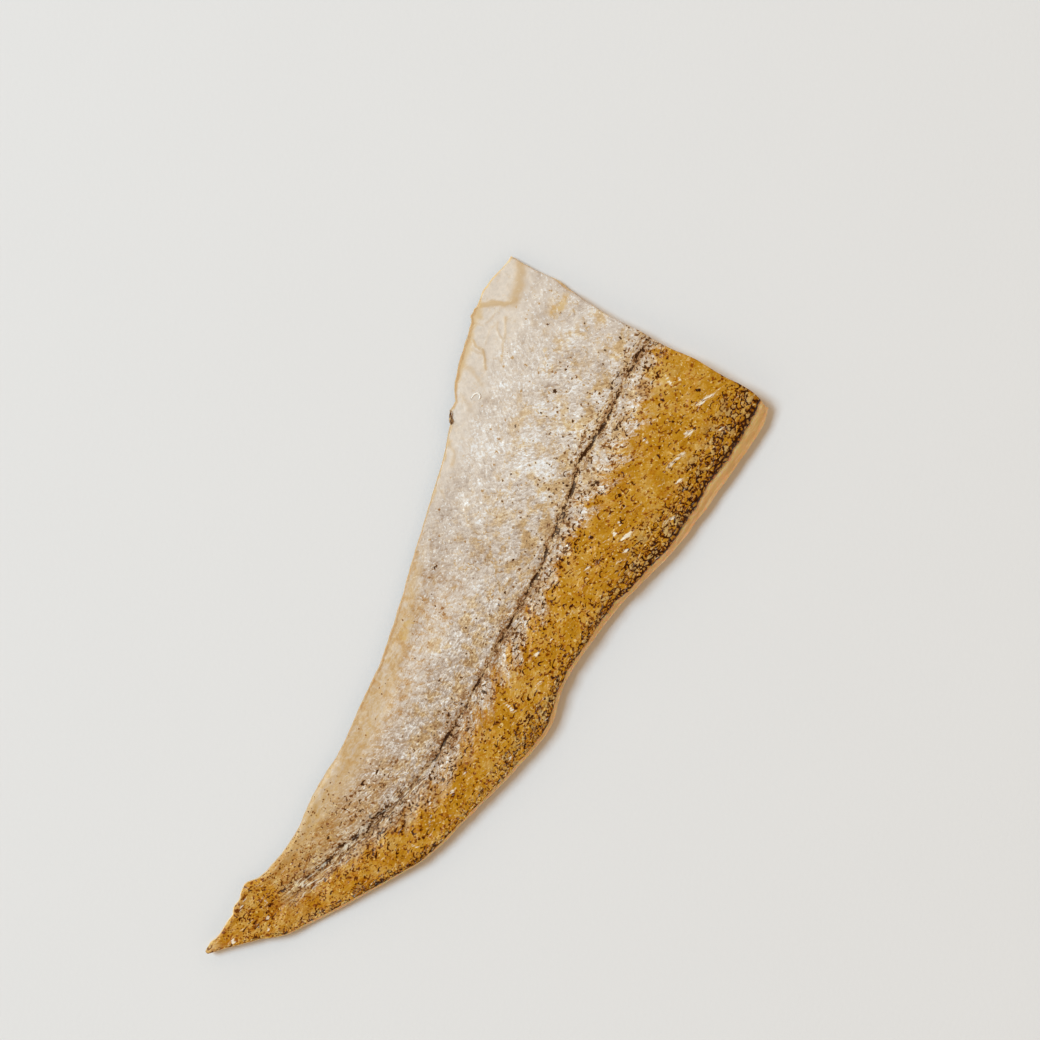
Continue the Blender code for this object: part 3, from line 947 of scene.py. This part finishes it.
def skin_tone(make, settings, facets):
    """Colour of the skin: gold and silver, each mottled, meeting in ragged chevrons."""
    fibres, flecks, patches = mottles(make)
    silver, even, contrast = make.fields("silver", "even", "contrast")
    # Crisp white blotches on the silver: partly its own white, partly painted highlights.
    blotches = make.streaks(make.warped(make.place, (0.7, 0.6)), (0.42, 0.8, 1), 45, 3.0, 0.6)
    blotches = make.step(blotches, 0.545, 0.63)
    # The white patches: partly the silver's own white, partly painted highlights.
    white_highlight = make.step(make.field("white_highlight") + 1.6 * flecks, 0.15, 0.75)

    mixing = (1 - 0.78 * make.step(silver, 0.46, 0.76)) * make.step(silver, 0.06, 0.36)
    mixing = mixing * (1 - 0.62 * even)
    share = silver + mixing * (1.5 * fibres + 1.1 * flecks) + 0.4 * patches
    share = share + 0.12 * white_highlight + 0.16 * silver * facets
    share = make.mix_value(
        make.field("tail"), make.step(share, 0.12, 0.74), make.step(share, 0.03, 0.80)
    )
    # The silver's brightness: its own tone, with painted highlights and the facets' painted light and
    # shade.
    sheen = make.field("sheen") + contrast * (0.25 * fibres + 0.11 * facets + 0.9 * flecks)
    sheen = sheen + 0.9 * patches + 0.2 * white_highlight + 0.22 * silver * blotches
    sheen = sheen - 0.15 * make.field("stain")
    silver_color = make.ramp(
        sheen,
        (0.00, settings.mauve),
        (0.45, blend(settings.mauve, settings.silver, 0.75)),
        (0.65, settings.silver),
        (1.00, settings.glint),
    )
    gold_color = make.ramp(
        0.48 + 1.4 * patches + 1.2 * flecks,
        (0.10, settings.deep_gold),
        (0.50, settings.gold),
        (1.00, settings.ochre),
    )
    tanned = 0.7 * make.step(silver, 0.12, 0.3) * even
    gold_color = make.mix(tanned, gold_color, settings.tan)
    return make.mix(share, gold_color, silver_color), sheen


def painted_glint_strokes(make):
    """Painted highlights on glossy wrinkles of the back, in slanting bunches, and small pale flecks that
    are partly painted glints.
    """
    bent = make.warped(make.place, (0.25, 0.8), (1.1, 0.15))
    strokes = make.streaks(bent, (0.4, 2.0, 1), 25, 2.5, 0.6) + 0.3 * make.field("pale")
    lengthwise = make.warped(make.vector_field("along"), (0.4, 0.6))
    lengthwise = make.streaks(lengthwise, (0.3, 1.7, 1), 0, 2.0, 0.55)
    # Painted glints along the lateral line near the tail.
    lengthwise = 0.68 * make.step(lengthwise, 0.54, 0.66) * make.field("glint_share")
    # Small pale flecks, partly painted glints.
    speck = make.noise(make.warped(make.place, (1.2, 0.3)), 1.45, 2.0, 0.65)
    strokes = make.highest(0.85 * make.step(strokes, 0.64, 0.82), lengthwise)
    return strokes, make.step(speck, 0.58, 0.7)


def scale_pockets(make):
    """Distance in mm, roughly, from the rims of the scale pockets, and each pocket's own value."""
    place = make.warped(make.vector_field("pockets"), (0.6, 0.45), (1.7, 0.16))
    own = make.split(make.cells(place).beside("Color"))[0]
    return 1.25 * make.cells(place, 1.0, "DISTANCE_TO_EDGE"), own


def dots(make, scale, radius, share, halo=0.0):
    """Soft round dots of uneven size, in a share of the cells, each in a paler halo."""
    place = make.warped(make.place, (0.9 * scale, 0.3 / scale), (2.2, 0.16))
    cell = make.cells(place, scale)
    pick, size, depth = make.split(cell.beside("Color"))
    away = cell / (radius * scale * (0.5 + size)) + 2 * (make.noise(make.place, 2.2, 1.0) - 0.5)
    core = make.step(away, 1.6, 0.7) * (0.7 + 0.3 * depth)
    around = halo * make.step(away, 4.2, 1.0)
    return make.highest(core, around) * (pick < share)


def arcs(make, pitch, radius, width, share):
    """Short bent strokes along the fillet: each a piece of a flattened ring in its cell."""
    place = make.stretched(make.warped(make.place, (0.5, 0.9)), (0.62, 1.3, 1), 8)
    cell = make.cells(place, 1 / pitch)
    color = cell.beside("Color")
    pick, depth, size = make.split(color)
    ring = pitch * cell - (radius + 0.5 * size)
    stroke = make.step(abs(ring), 1.5 * width, 0.55 * width)
    offset = make.heading(place, cell.beside("Position"))
    own = make.heading(color, (0.5, 0.5, 0.5))
    facing = make.step(make.vector_calc("DOT_PRODUCT", offset, own, "Value"), -0.15, 0.4)
    return stroke * facing * (0.65 + 0.35 * depth) * (pick < share)


def pocket_net(make, rims, own, broken):
    """The dark rims of the scale pockets along the back, and the shade inside the pockets."""
    net = make.field("net")
    lumps = make.noise(make.place, 1.6, 2.0, 0.6)
    worn = broken + 0.31 * net
    worn = worn + make.step(make.field("back_edge"), 1.3, 0.3) * make.field("dark_rim")
    width = 0.36 * make.step(worn, 0.52, 1.0) - 0.14 + 0.55 * (lumps - 0.5)
    gaps = make.step(make.noise(make.place, 1.3, 1.0), 0.42, 0.54)
    netting = make.step(rims - width, 0.18, -0.1) * make.mix_value(make.field("head"), gaps, 1.0)
    netting = netting * make.step(worn, 0.54, 0.62) * make.step(net, 0.02, 0.25)
    dusk = make.step(worn + 0.5 * own + 0.9 * lumps, 1.25, 1.95)
    return netting, 0.68 * dusk * make.step(net, 0.1, 0.5)


def dark_marks(make, broken):
    """Density of the pigment in bent dashes and in dots of several sizes."""
    marked, membrane, tail = make.fields("marked", "membrane", "tail")
    open_skin = 1 - make.highest(membrane, make.field("margin"))
    share = (0.05 + 0.62 * marked) * open_skin + 0.9 * (broken - 0.5)
    bent = make.highest(
        arcs(make, 1.9, 0.42, 0.17, share), arcs(make, 1.3, 0.28, 0.16, 0.9 * share)
    )
    bent = bent * make.step(marked, 0.1, 0.45)
    small = dots(make, 0.95, 0.26, 0.6 * share) * (0.5 + 0.5 * marked)
    large = dots(make, 0.45, 0.36, 0.22 * share)
    spots = 1.4 * make.field("spotted") * make.step(broken, 0.38, 0.62)
    spots = dots(make, 0.85, 0.21, spots, 0.16)
    fine = (0.2 * marked + 0.65 * tail) * make.step(broken, 0.35, 0.65)
    fine = 0.85 * dots(make, 1.7, 0.16, fine) * (1 - membrane)
    return make.highest(open_skin * make.highest(bent, small, large, spots), fine)


def line_crack(make):
    """Density of the lateral line's crack, and of the stain about it."""
    crease = make.field("crease")
    off_line = make.field("crack")
    for scale, amount in ((0.45, 1.5), (1.3, 1.8)):
        off_line = off_line + amount * (make.noise(make.place, scale, 1.5, 0.55) - 0.5)
    away = abs(off_line) + 0.8 * (make.noise(make.place, 1.1, 2.0, 0.6) - 0.5)
    opened = make.step(make.streaks(make.place, (0.4, 0.15, 1), 0, 3.0, 0.6), 0.3, 0.62) * crease
    heavy = make.step(make.field("cracks"), 0.1, 0.9)
    core = make.step(away - 0.26 * opened - 0.42 * heavy, 0.16, -0.14)
    core = core * (0.76 + 0.22 * crease) * (1 - 0.2 * make.field("even"))
    return make.highest(core, 0.36 * make.step(away - opened, 0.9, -0.6))


def fine_cracks(make, facet_rims):
    """Density of the thin brown cracks, strands, creases and clouds beside the lateral line."""
    fibrous, honeyed, cracks = make.fields("fibrous", "honeyed", "cracks")
    from_crack = abs(make.field("crack"))
    near = make.step(from_crack, 5.0, 0.4)
    runs = make.noise(make.place, 0.45, 3.0, 0.6)
    shown = make.step(runs + 0.06 * near, 0.52, 0.66)
    thin = make.step(facet_rims - 0.12 * shown, 0.12, -0.04)
    thin = thin * shown * (0.42 + 0.1 * near) * fibrous
    clouds = make.noise(make.warped(make.place, (0.5, 0.8)), 0.23, 4.0, 0.65) + 0.22 * honeyed
    clouds = make.step(clouds, 0.56, 0.74) * make.calc("MINIMUM", 0.55 * honeyed, 0.32)
    creases = make.noise(make.warped(make.place, (0.12, 3.0)), 0.1, 1.5, 0.6)
    creases = make.step(abs(creases - 0.5), 0.022, 0.002) * make.step(runs, 0.42, 0.6) * fibrous
    strands = make.warped(make.vector_field("along"), (0.4, 0.5), (1.3, 0.2))
    strands = abs(make.streaks(strands, (0.15, 0.85, 1)) - 0.5)
    strands = make.step(strands, 0.044, 0.014) * make.step(runs, 0.4, 0.5)
    strands = strands * make.step(make.field("stranded"), 0.0, 0.8) * (1 - 0.3 * make.field("even"))
    placed = 2.6 * (make.noise(make.warped(make.place, (1.0, 0.5)), 1.5, 3.0, 0.7) - 0.5)
    placed = placed + cracks * (0.65 + 0.35 * make.step(from_crack, 0.5, 1.3))
    placed = make.step(placed, 0.5, 0.85) * make.step(cracks, 0.15, 0.4)
    return make.highest(thin, strands, clouds, 0.33 * creases, placed)


def pigmented(make, color, density, settings):
    """The colour seen through pigment, which turns ochre, then brown, then nearly black."""
    film = make.ramp(
        density,
        (0.00, (1.0, 1.0, 1.0)),
        (0.28, settings.honey),
        (0.60, settings.brown),
        (1.00, settings.dark),
    )
    return make.mix(1.0, color, film, "MULTIPLY")


def skin_edges(make, settings, color, margin, rag):
    """The colour with the smooth skin by the belly, and the rims, folds and tail tip, laid on."""
    pale = make.noise(make.warped(make.place, (0.3, 1.2)), 0.8, 4.0, 0.7)
    lining = make.ramp(pale, (0.3, shade(settings.lining, 0.86)), (0.7, shade(settings.lining, 1.1)))
    straw = make.warped(make.place, (0.5, 0.8))
    straw = make.ramp(
        make.streaks(straw, (0.3, 0.9, 1), 0, 5.0, 0.72),
        (0.22, settings.amber),
        (0.46, settings.straw),
        (0.70, settings.lining),
    )
    lines = make.step(make.field("fold_lines") + 0.25 * rag, 0.02, 0.85)
    ochre = make.step(make.field("ochre") + 0.9 * rag, 0.35, 0.95)
    rim = make.step(make.field("belly_edge") + 0.6 * rag, 1.2, 0.4)
    for share, over in (
        (0.65 * margin, straw),
        (0.85 * make.field("membrane"), lining),
        (lines, settings.fold),
        (0.75 * make.field("straw_rim"), settings.straw),
        (0.70 * ochre, settings.ochre),
        (0.85 * rim, settings.amber),
        (0.75 * make.field("tip"), settings.tip),
    ):
        color = make.mix(share, color, over)
    return color


def skin_material(settings):
    make = material_maker("dried_cod_skin")
    membrane, net, gold = make.fields("membrane", "net", "gold")
    facets, facet_rims = flakes(make)
    color, tone = skin_tone(make, settings, facets)
    rims, own = scale_pockets(make)
    rag = 1.6 * make.noise(make.warped(make.place, (0.8, 0.5)), 0.6, 4.0, 0.68) - 0.8
    margin = make.step(make.field("margin") + 0.45 * rag, 0.05, 0.95)
    color = skin_edges(make, settings, color, margin, rag)

    stroke, speck = painted_glint_strokes(make)
    # lit: painted highlights in some of the net's scale pockets; the flecks are partly painted glints.
    lit = 0.7 * make.step(own, 0.7, 0.9) * net
    speck = 0.85 * make.highest(speck, lit) * (1 - make.highest(membrane, margin))
    fleck = make.mix(make.step(make.field("silver"), 0.3, 0.7), settings.fleck, settings.glint)
    color = make.mix(speck, color, fleck)
    color = make.mix(make.field("tail"), color, settings.warmth, "MULTIPLY")

    broken = make.noise(make.place, 0.8, 3.0, 0.65)
    netting, dusk = pocket_net(make, rims, own, broken)
    stain = 0.6 * make.step(make.field("stain") + 0.9 * rag, 0.25, 1.2)
    cracks = make.highest(line_crack(make), fine_cracks(make, facet_rims))
    marks = make.highest(netting, dark_marks(make, broken), cracks, stain)
    dusk = dusk * make.mix_value(make.field("head"), 1.25, 0.84)
    color = make.mix(dusk, color, settings.dusk, "MULTIPLY")
    color = pigmented(make, color, 1.14 * marks, settings)
    # Painted highlights: cream strokes on the glossy wrinkles.
    color = make.mix(stroke, color, settings.cream)

    rough = make.mix_value(membrane, make.mix_value(gold, 0.40, 0.26), 0.42)
    return make.finish({
        "Base Color": color,
        "Roughness": rough,
        "Metallic": 0.1 * make.step(tone, 0.75, 1.05) * (1 - marks),
        "Specular IOR Level": 0.32,
        "Specular Tint": (1.0, 0.70, 0.44),
        "Normal": skin_bump(make, rims),
    })  # fmt: skip


def skin_bump(make, rims):
    """Fine relief: domed scale pockets, fibres and crumples."""
    membrane, net, gold = make.fields("membrane", "net", "gold")
    calm = 1 - 0.7 * membrane
    domes = make.step(rims, 0.0, 0.45) * calm * (0.2 + 0.8 * net)
    fibres = make.streaks(make.vector_field("grain"), (0.95, 0.35, 1))
    crumple = make.noise(make.place, 0.7) * (0.6 + 0.4 * gold)
    return make.bump((domes, 0.09), (fibres * calm, 0.09), (crumple * calm, 0.20))


class COD_OT_skin(bpy.types.Operator):
    """Add the dried skin: silver by the belly, gold with a dark net along the back."""

    bl_idname = "cod.skin"
    bl_label = "Skin"

    def execute(self, context):
        settings = context.scene.cod_skin
        mesh = skin_sheet(settings)
        shape_skin(mesh, settings)
        dress("fillet_skin", mesh, skin_material(settings))
        return {"FINISHED"}


class FleshSettings(bpy.types.PropertyGroup):
    """Sizes and colours of the dried flesh."""

    cells_along: count_setting("Cells along", "Grid cells from the tail tip to the cut", 280)
    cells_across: count_setting("Cells across", "Grid cells from the back to the belly", 100)
    wall_rings: count_setting("Wall rings", "Rings of the side wall under the skin", 9)
    below_skin: length_setting("Below the skin", "Gap between the skin and the flesh", 0.25 * MM)
    cream: color_setting("Cream", "Pale flesh", (0.89, 0.68, 0.37))
    amber: color_setting("Amber", "Darker flesh near the edges", (0.84, 0.56, 0.24))
    fibre: color_setting("Fibre", "Pale fibres of the flesh", (0.93, 0.76, 0.47))
    rind: color_setting("Rind", "Thin edge beside the belly", (0.52, 0.34, 0.17))
    rust: color_setting("Rust", "Brown stains and the stripe under the skin", (0.58, 0.34, 0.09))


def flesh_block(settings):
    """A closed slab: the flesh side as a grid, extruded up to the skin, with rings round it."""
    bm = flat_sheet(settings.cells_along, settings.cells_across)
    bmesh.ops.reverse_faces(bm, faces=bm.faces)
    extruded = bmesh.ops.extrude_face_region(bm, geom=bm.faces[:])["geom"]
    top = {item for item in extruded if isinstance(item, bmesh.types.BMVert)}
    bmesh.ops.translate(bm, vec=(0, 0, settings.wall_rings + 1), verts=list(top))
    wall = [edge for edge in bm.edges if (edge.verts[0] in top) != (edge.verts[1] in top)]
    bmesh.ops.subdivide_edges(bm, edges=wall, cuts=settings.wall_rings)
    bmesh.ops.recalc_face_normals(bm, faces=bm.faces)
    return new_mesh("fillet_flesh", bm)


def shape_flesh(mesh, settings):
    """Moves the flat slab to its place under the skin and stores its finishes on it."""
    s, t, ring = sheet_shares(mesh)
    back, belly, cut = t == 0, t == 1, s == 1
    up = ring / (settings.wall_rings + 1)
    reach = np.interp(up, np.linspace(0, 1, len(WALL_REACH)), WALL_REACH)
    x, y = PLAN.place(s, t, reach - 0.6 * (up == 1))
    below = PLAN.top(s, t) - settings.below_skin / MM
    low = PLAN.bottom(s, t) + np.maximum(flesh_relief(x, y), TABLE_GAP)
    low = np.maximum(np.minimum(low, below - LEAST_FLESH), TABLE_GAP)
    inside = rise(np.minimum(np.minimum(t, 1 - t) * 30, (1 - s) * 60), 0, 1)
    high = np.maximum(below - 0.15 - 0.9 * inside, low + 0.1)
    z = low + (high - low) * up
    side = np.where(back | belly | cut, np.sin(np.pi * up), 0)
    push = side * 0.15 * uneven(x + y, 0.6 * z, 2.6, 21)
    y = y + np.where(back, -push, np.where(belly, push, 0)) * rise(x, 0, 6) * 0.8
    x = x + np.where(cut, push - 0.1, 0)
    set_points(mesh, PLAN.to_frame(x, y, z))
    thick = rise(below - low, 0.8, 2.6)
    set_field(mesh, "up", up)
    set_field(mesh, "edge", np.exp(-np.minimum(t, 1 - t) * 9) * (1 - 0.5 * cut))
    set_field(mesh, "back_wall", np.where(back, 1.0, 0.8 * cut) * rise(up, 0.1, 0.4))
    set_field(mesh, "see_through", np.where(belly | cut, 0.0, thick))
    set_field(mesh, "thin_rim", belly * rise(x, 10, 40) * (1 - 0.8 * rise(x, 176, 184)))


def flesh_relief(x, y):
    """Unevenness of the flesh side: broad swells, and flakes that follow the muscle."""
    g, d = grain(x, y)
    broad = 0.25 + 0.25 * uneven(x, y, 14, 31) + 0.14 * uneven(x, y, 5, 32)
    return broad + 0.1 * uneven(g, 0.25 * d, 4.0, 33) + 0.06 * uneven(g, 0.4 * d, 1.6, 34)


def flesh_material(settings):
    make = material_maker("dried_cod_flesh")
    up, edge = make.fields("up", "edge")
    clouds = make.noise(make.place, 0.09, 3.0, 0.55)
    tone = 0.6 * clouds + 0.4 * make.streaks(make.place, (0.12, 0.9, 1), 8, 3.0, 0.6) + 0.16 * edge
    under = make.step(up, 0.08, 0.0)
    broad = make.noise(make.warped(make.place, (0.08, 6.0)), 0.035, 3.0, 0.6)
    broad = 0.6 * make.step(broad, 0.4, 0.66) + 0.5 * edge
    tone = tone + 0.36 * broad * under
    spots = make.noise(make.place, 0.2, 3.0, 0.65)
    fibres = make.warped(make.place, (0.3, 0.8))
    fibres = make.streaks(fibres, (0.16, 1.5, 1), 6, 3.0, 0.7)
    fuzz = make.streaks(make.place, (0.3, 1.1, 1.1), 0, 3.0, 0.6)
    stripe = make.step(abs(up + 0.35 * fuzz - 0.9), 0.16, 0.02)
    stripe = 0.8 * fuzz - 0.15 + 0.4 * stripe
    color = settings.cream
    for share, over in (
        (make.step(tone, 0.36, 0.66), settings.amber),
        (0.55 * make.step(tone, 0.62, 0.92) * under, settings.rust),
        (0.60 * make.step(spots, 0.60, 0.76), settings.rust),
        (0.75 * make.step(fibres, 0.50, 0.64), settings.fibre),
        (0.40 * make.step(fibres, 0.44, 0.34), settings.rust),
        (stripe * make.field("back_wall"), settings.rust),
        (0.85 * make.field("thin_rim"), settings.rind),
    ):
        color = make.mix(share, color, over)
    threads = make.streaks(make.place, (0.5, 2.6, 2.6), 8, 3.0, 0.6)
    return make.finish({
        "Base Color": color,
        "Roughness": make.mix_value(clouds, 0.30, 0.48),
        "Subsurface Weight": make.mix_value(make.field("see_through"), 0.15, 0.85),
        "Subsurface Radius": (1.0, 0.42, 0.14),
        "Subsurface Scale": 3.2 * MM,
        "Normal": make.bump((threads, 0.14), (make.noise(make.place, 1.6, 3.0, 0.6), 0.14)),
    })  # fmt: skip


class COD_OT_flesh(bpy.types.Operator):
    """Add the dried flesh: the underside, the side walls and the cut."""

    bl_idname = "cod.flesh"
    bl_label = "Flesh"

    def execute(self, context):
        settings = context.scene.cod_flesh
        mesh = flesh_block(settings)
        shape_flesh(mesh, settings)
        dress("fillet_flesh", mesh, flesh_material(settings))
        return {"FINISHED"}


class ScrapSettings(bpy.types.PropertyGroup):
    """Sizes and colours of the small dried scraps on the fillet."""

    scrap_length: length_setting("Scrap length", "Length of the curled scrap", 3.6 * MM)
    thread_radius: length_setting("Thread radius", "Radius of the loose thread", 0.18 * MM)
    scrap: color_setting("Scrap", "Curled scrap", (0.10, 0.035, 0.008))
    scrap_edge: color_setting("Scrap edge", "Thin ends of the curled scrap", (0.62, 0.40, 0.16))
    thread: color_setting("Thread", "Loose thread", (0.95, 0.92, 0.85))


def resting_height(x, y):
    """Height of the finished skin at a place of the plan, in mm."""
    points = points_of(bpy.data.objects["fillet_skin"].data) / MM - PLAN.origin
    near = np.argsort(np.hypot(points[:, 0] - x, points[:, 1] - y))[:4]
    return points[near, 2].max()


def tube_mesh(name, path, radii):
    """A tube along a path in plan millimetres, closed where its radius ends at zero."""
    bm = flat_sheet(len(path) - 1, TUBE_SIDES)
    along = np.gradient(path, axis=0)
    along /= np.linalg.norm(along, axis=1, keepdims=True)
    side = np.cross(along, (0, 0, 1))
    side /= np.linalg.norm(side, axis=1, keepdims=True)
    up = np.cross(side, along)
    for vert in bm.verts:
        i = round(vert.co.x * (len(path) - 1))
        angle = 2 * math.pi * vert.co.y
        ring = math.cos(angle) * side[i] + math.sin(angle) * up[i]
        vert.co = PLAN.to_frame(*(path[i] + radii[i] * ring))
    bmesh.ops.remove_doubles(bm, verts=bm.verts, dist=0.001 * MM)
    bmesh.ops.recalc_face_normals(bm, faces=bm.faces)
    return new_mesh(name, bm)


def scrap_mesh(settings):
    """A thin flake of skin rolled up along its length, on the belly edge."""
    bm = flat_sheet(36, 20)
    heading = math.radians(SCRAP_HEADING)
    base = resting_height(*SCRAP_PLACE)
    for vert in bm.verts:
        u, v = vert.co.x, vert.co.y
        taper = (4 * u * (1 - u)) ** 0.4
        roll = math.radians(-30 + 250 * v * (0.6 + 0.4 * math.sin(3 * u + 1)))
        radius = (0.42 + 0.10 * math.sin(9 * u)) * taper
        a = (u - 0.5) * settings.scrap_length / MM + 0.12 * math.sin(7 * v + 3 * u)
        b, z = -radius * math.cos(roll), radius * math.sin(roll) + radius + 0.05
        x = SCRAP_PLACE[0] + a * math.cos(heading) - b * math.sin(heading)
        y = SCRAP_PLACE[1] + a * math.sin(heading) + b * math.cos(heading)
        vert.co = PLAN.to_frame(x, y, base + z)
    bmesh.ops.solidify(bm, geom=bm.faces[:], thickness=0.06 * MM)
    bmesh.ops.recalc_face_normals(bm, faces=bm.faces)
    return new_mesh("curled_scrap", bm)


def scrap_material(settings):
    make = material_maker("dried_scrap")
    tone = make.step(make.noise(make.place, 0.9, 3.0, 0.6), 0.50, 0.68)
    color = make.mix(tone, settings.scrap, settings.scrap_edge)
    return make.finish({"Base Color": color, "Roughness": 0.5})


def thread_material(settings):
    make = material_maker("dried_thread")
    return make.finish({"Base Color": settings.thread, "Roughness": 0.5})


class COD_OT_scraps(bpy.types.Operator):
    """Add the small dried scraps: a rolled flake on the belly edge and a bent thread."""

    bl_idname = "cod.scraps"
    bl_label = "Scraps"

    def execute(self, context):
        settings = context.scene.cod_scraps
        if "fillet_skin" not in bpy.data.objects:
            raise RuntimeError("add the skin first: the scraps rest on it")
        dress("curled_scrap", scrap_mesh(settings), scrap_material(settings))
        radius = settings.thread_radius / MM
        path = [(x, y, resting_height(x, y) + 0.6 * radius) for x, y in THREAD_PATH]
        mesh = tube_mesh("loose_thread", np.array(path), radius * np.array(THREAD_SHAPE))
        dress("loose_thread", mesh, thread_material(settings))
        return {"FINISHED"}


class StageSettings(bpy.types.PropertyGroup):
    """The table, the light and the camera."""

    table_width: length_setting("Table width", "Side of the square table top", 6.0)
    table: color_setting("Table", "Colour of the table", (0.80, 0.79, 0.775))
    light_distance: length_setting("Light distance", "From the fillet to the soft box", 5.0)
    light_size: length_setting("Light size", "Side of the soft box", 1.9)
    light_elevation: number_setting(
        "Light elevation", "Height of the light above the horizon", math.radians(50), unit="ROTATION"
    )
    light_power: number_setting("Light power", "Power of the soft box in watts", 186.0)
    fill: number_setting("Fill", "Strength of the even light from all round", 0.76)
    view_width: length_setting("View width", "Width of table that the camera sees", 0.2704)
    view_turn: number_setting(
        "View turn", "Turn of the camera about the vertical", math.radians(-60), unit="ROTATION"
    )


def add_table(settings):
    bm = bmesh.new()
    bmesh.ops.create_grid(bm, x_segments=1, y_segments=1, size=settings.table_width / 2)
    mesh = new_mesh("table_top", bm)
    make = material_maker("pale_table")
    tone = make.noise(make.place, 0.02)
    material = make.finish({
        "Base Color": make.mix(tone, shade(settings.table, 0.985), settings.table),
        "Roughness": 0.75,
        "Specular IOR Level": 0.2,
        "Normal": make.bump((make.noise(make.place, 1.1, 3.0, 0.6), 0.05)),
    })  # fmt: skip
    mesh.materials.append(material)
    link("table_top", mesh)


def add_light(settings, middle):
    heading = Vector((*LIGHT_HEADING, 0)).normalized() * math.cos(settings.light_elevation)
    heading.z = math.sin(settings.light_elevation)
    data = bpy.data.lights.new("soft_box", "AREA")
    data.shape = "SQUARE"
    data.size = settings.light_size
    data.energy = settings.light_power
    data.color = (0.73, 0.985, 1.20)
    light = link("soft_box", data)
    light.location = middle + heading * settings.light_distance
    light.rotation_euler = heading.to_track_quat("Z", "Y").to_euler()


def add_sky(settings):
    """An even sky that is dark overhead, so that the skin's gloss doesn't turn pale."""
    world = bpy.data.worlds.new("even_sky")
    make = NodeMaker(world)
    upward = make.add("SeparateXYZ", "Z", {0: make.add("TexCoord", "Generated", {})})
    strength = settings.fill * (1 - 0.94 * make.step(upward, 0.50, 0.95))
    make.finish({"Color": (1.30, 0.97, 0.66), "Strength": strength}, "Background")
    bpy.context.scene.world = world


def add_camera(settings, middle):
    data = bpy.data.cameras.new("camera")
    data.lens = LENS
    data.sensor_width = SENSOR
    camera = link("camera", data)
    camera.location = middle + Vector((0, 0, settings.view_width * LENS / SENSOR))
    camera.rotation_euler = (0, 0, settings.view_turn)
    bpy.context.scene.camera = camera


class COD_OT_stage(bpy.types.Operator):
    """Add the pale table, the soft light from the belly side and the camera overhead."""

    bl_idname = "cod.stage"
    bl_label = "Stage"

    def execute(self, context):
        settings = context.scene.cod_stage
        middle = Vector(PLAN.to_frame(*VIEW_MIDDLE, 0.0))
        add_table(settings)
        add_light(settings, middle)
        add_sky(settings)
        add_camera(settings, middle)
        context.scene.view_settings.view_transform = "Standard"
        return {"FINISHED"}


class COD_PT_panel(bpy.types.Panel):
    """Lists the fillet's pieces and their settings."""

    bl_label = "Dried Cod"
    bl_space_type = "VIEW_3D"
    bl_region_type = "UI"
    bl_category = "Dried Cod"

    def draw(self, context):
        for name, settings in SETTINGS.items():
            box = self.layout.box()
            group = getattr(context.scene, name)
            for key in settings.__annotations__:
                box.prop(group, key)
        for operator in OPERATORS:
            self.layout.operator(operator.bl_idname)


SETTINGS = {
    "cod_flesh": FleshSettings,
    "cod_skin": SkinSettings,
    "cod_scraps": ScrapSettings,
    "cod_stage": StageSettings,
}
OPERATORS = (COD_OT_flesh, COD_OT_skin, COD_OT_scraps, COD_OT_stage)


def register():
    for cls in (*SETTINGS.values(), *OPERATORS, COD_PT_panel):
        bpy.utils.register_class(cls)
    for name, settings in SETTINGS.items():
        setattr(bpy.types.Scene, name, bpy.props.PointerProperty(type=settings))


def unregister():
    for name in SETTINGS:
        delattr(bpy.types.Scene, name)
    for cls in (COD_PT_panel, *reversed(OPERATORS), *reversed(SETTINGS.values())):
        bpy.utils.unregister_class(cls)


def main():
    register()
    bpy.ops.cod.flesh()
    bpy.ops.cod.skin()
    bpy.ops.cod.scraps()
    bpy.ops.cod.stage()


if __name__ == "__main__":
    main()
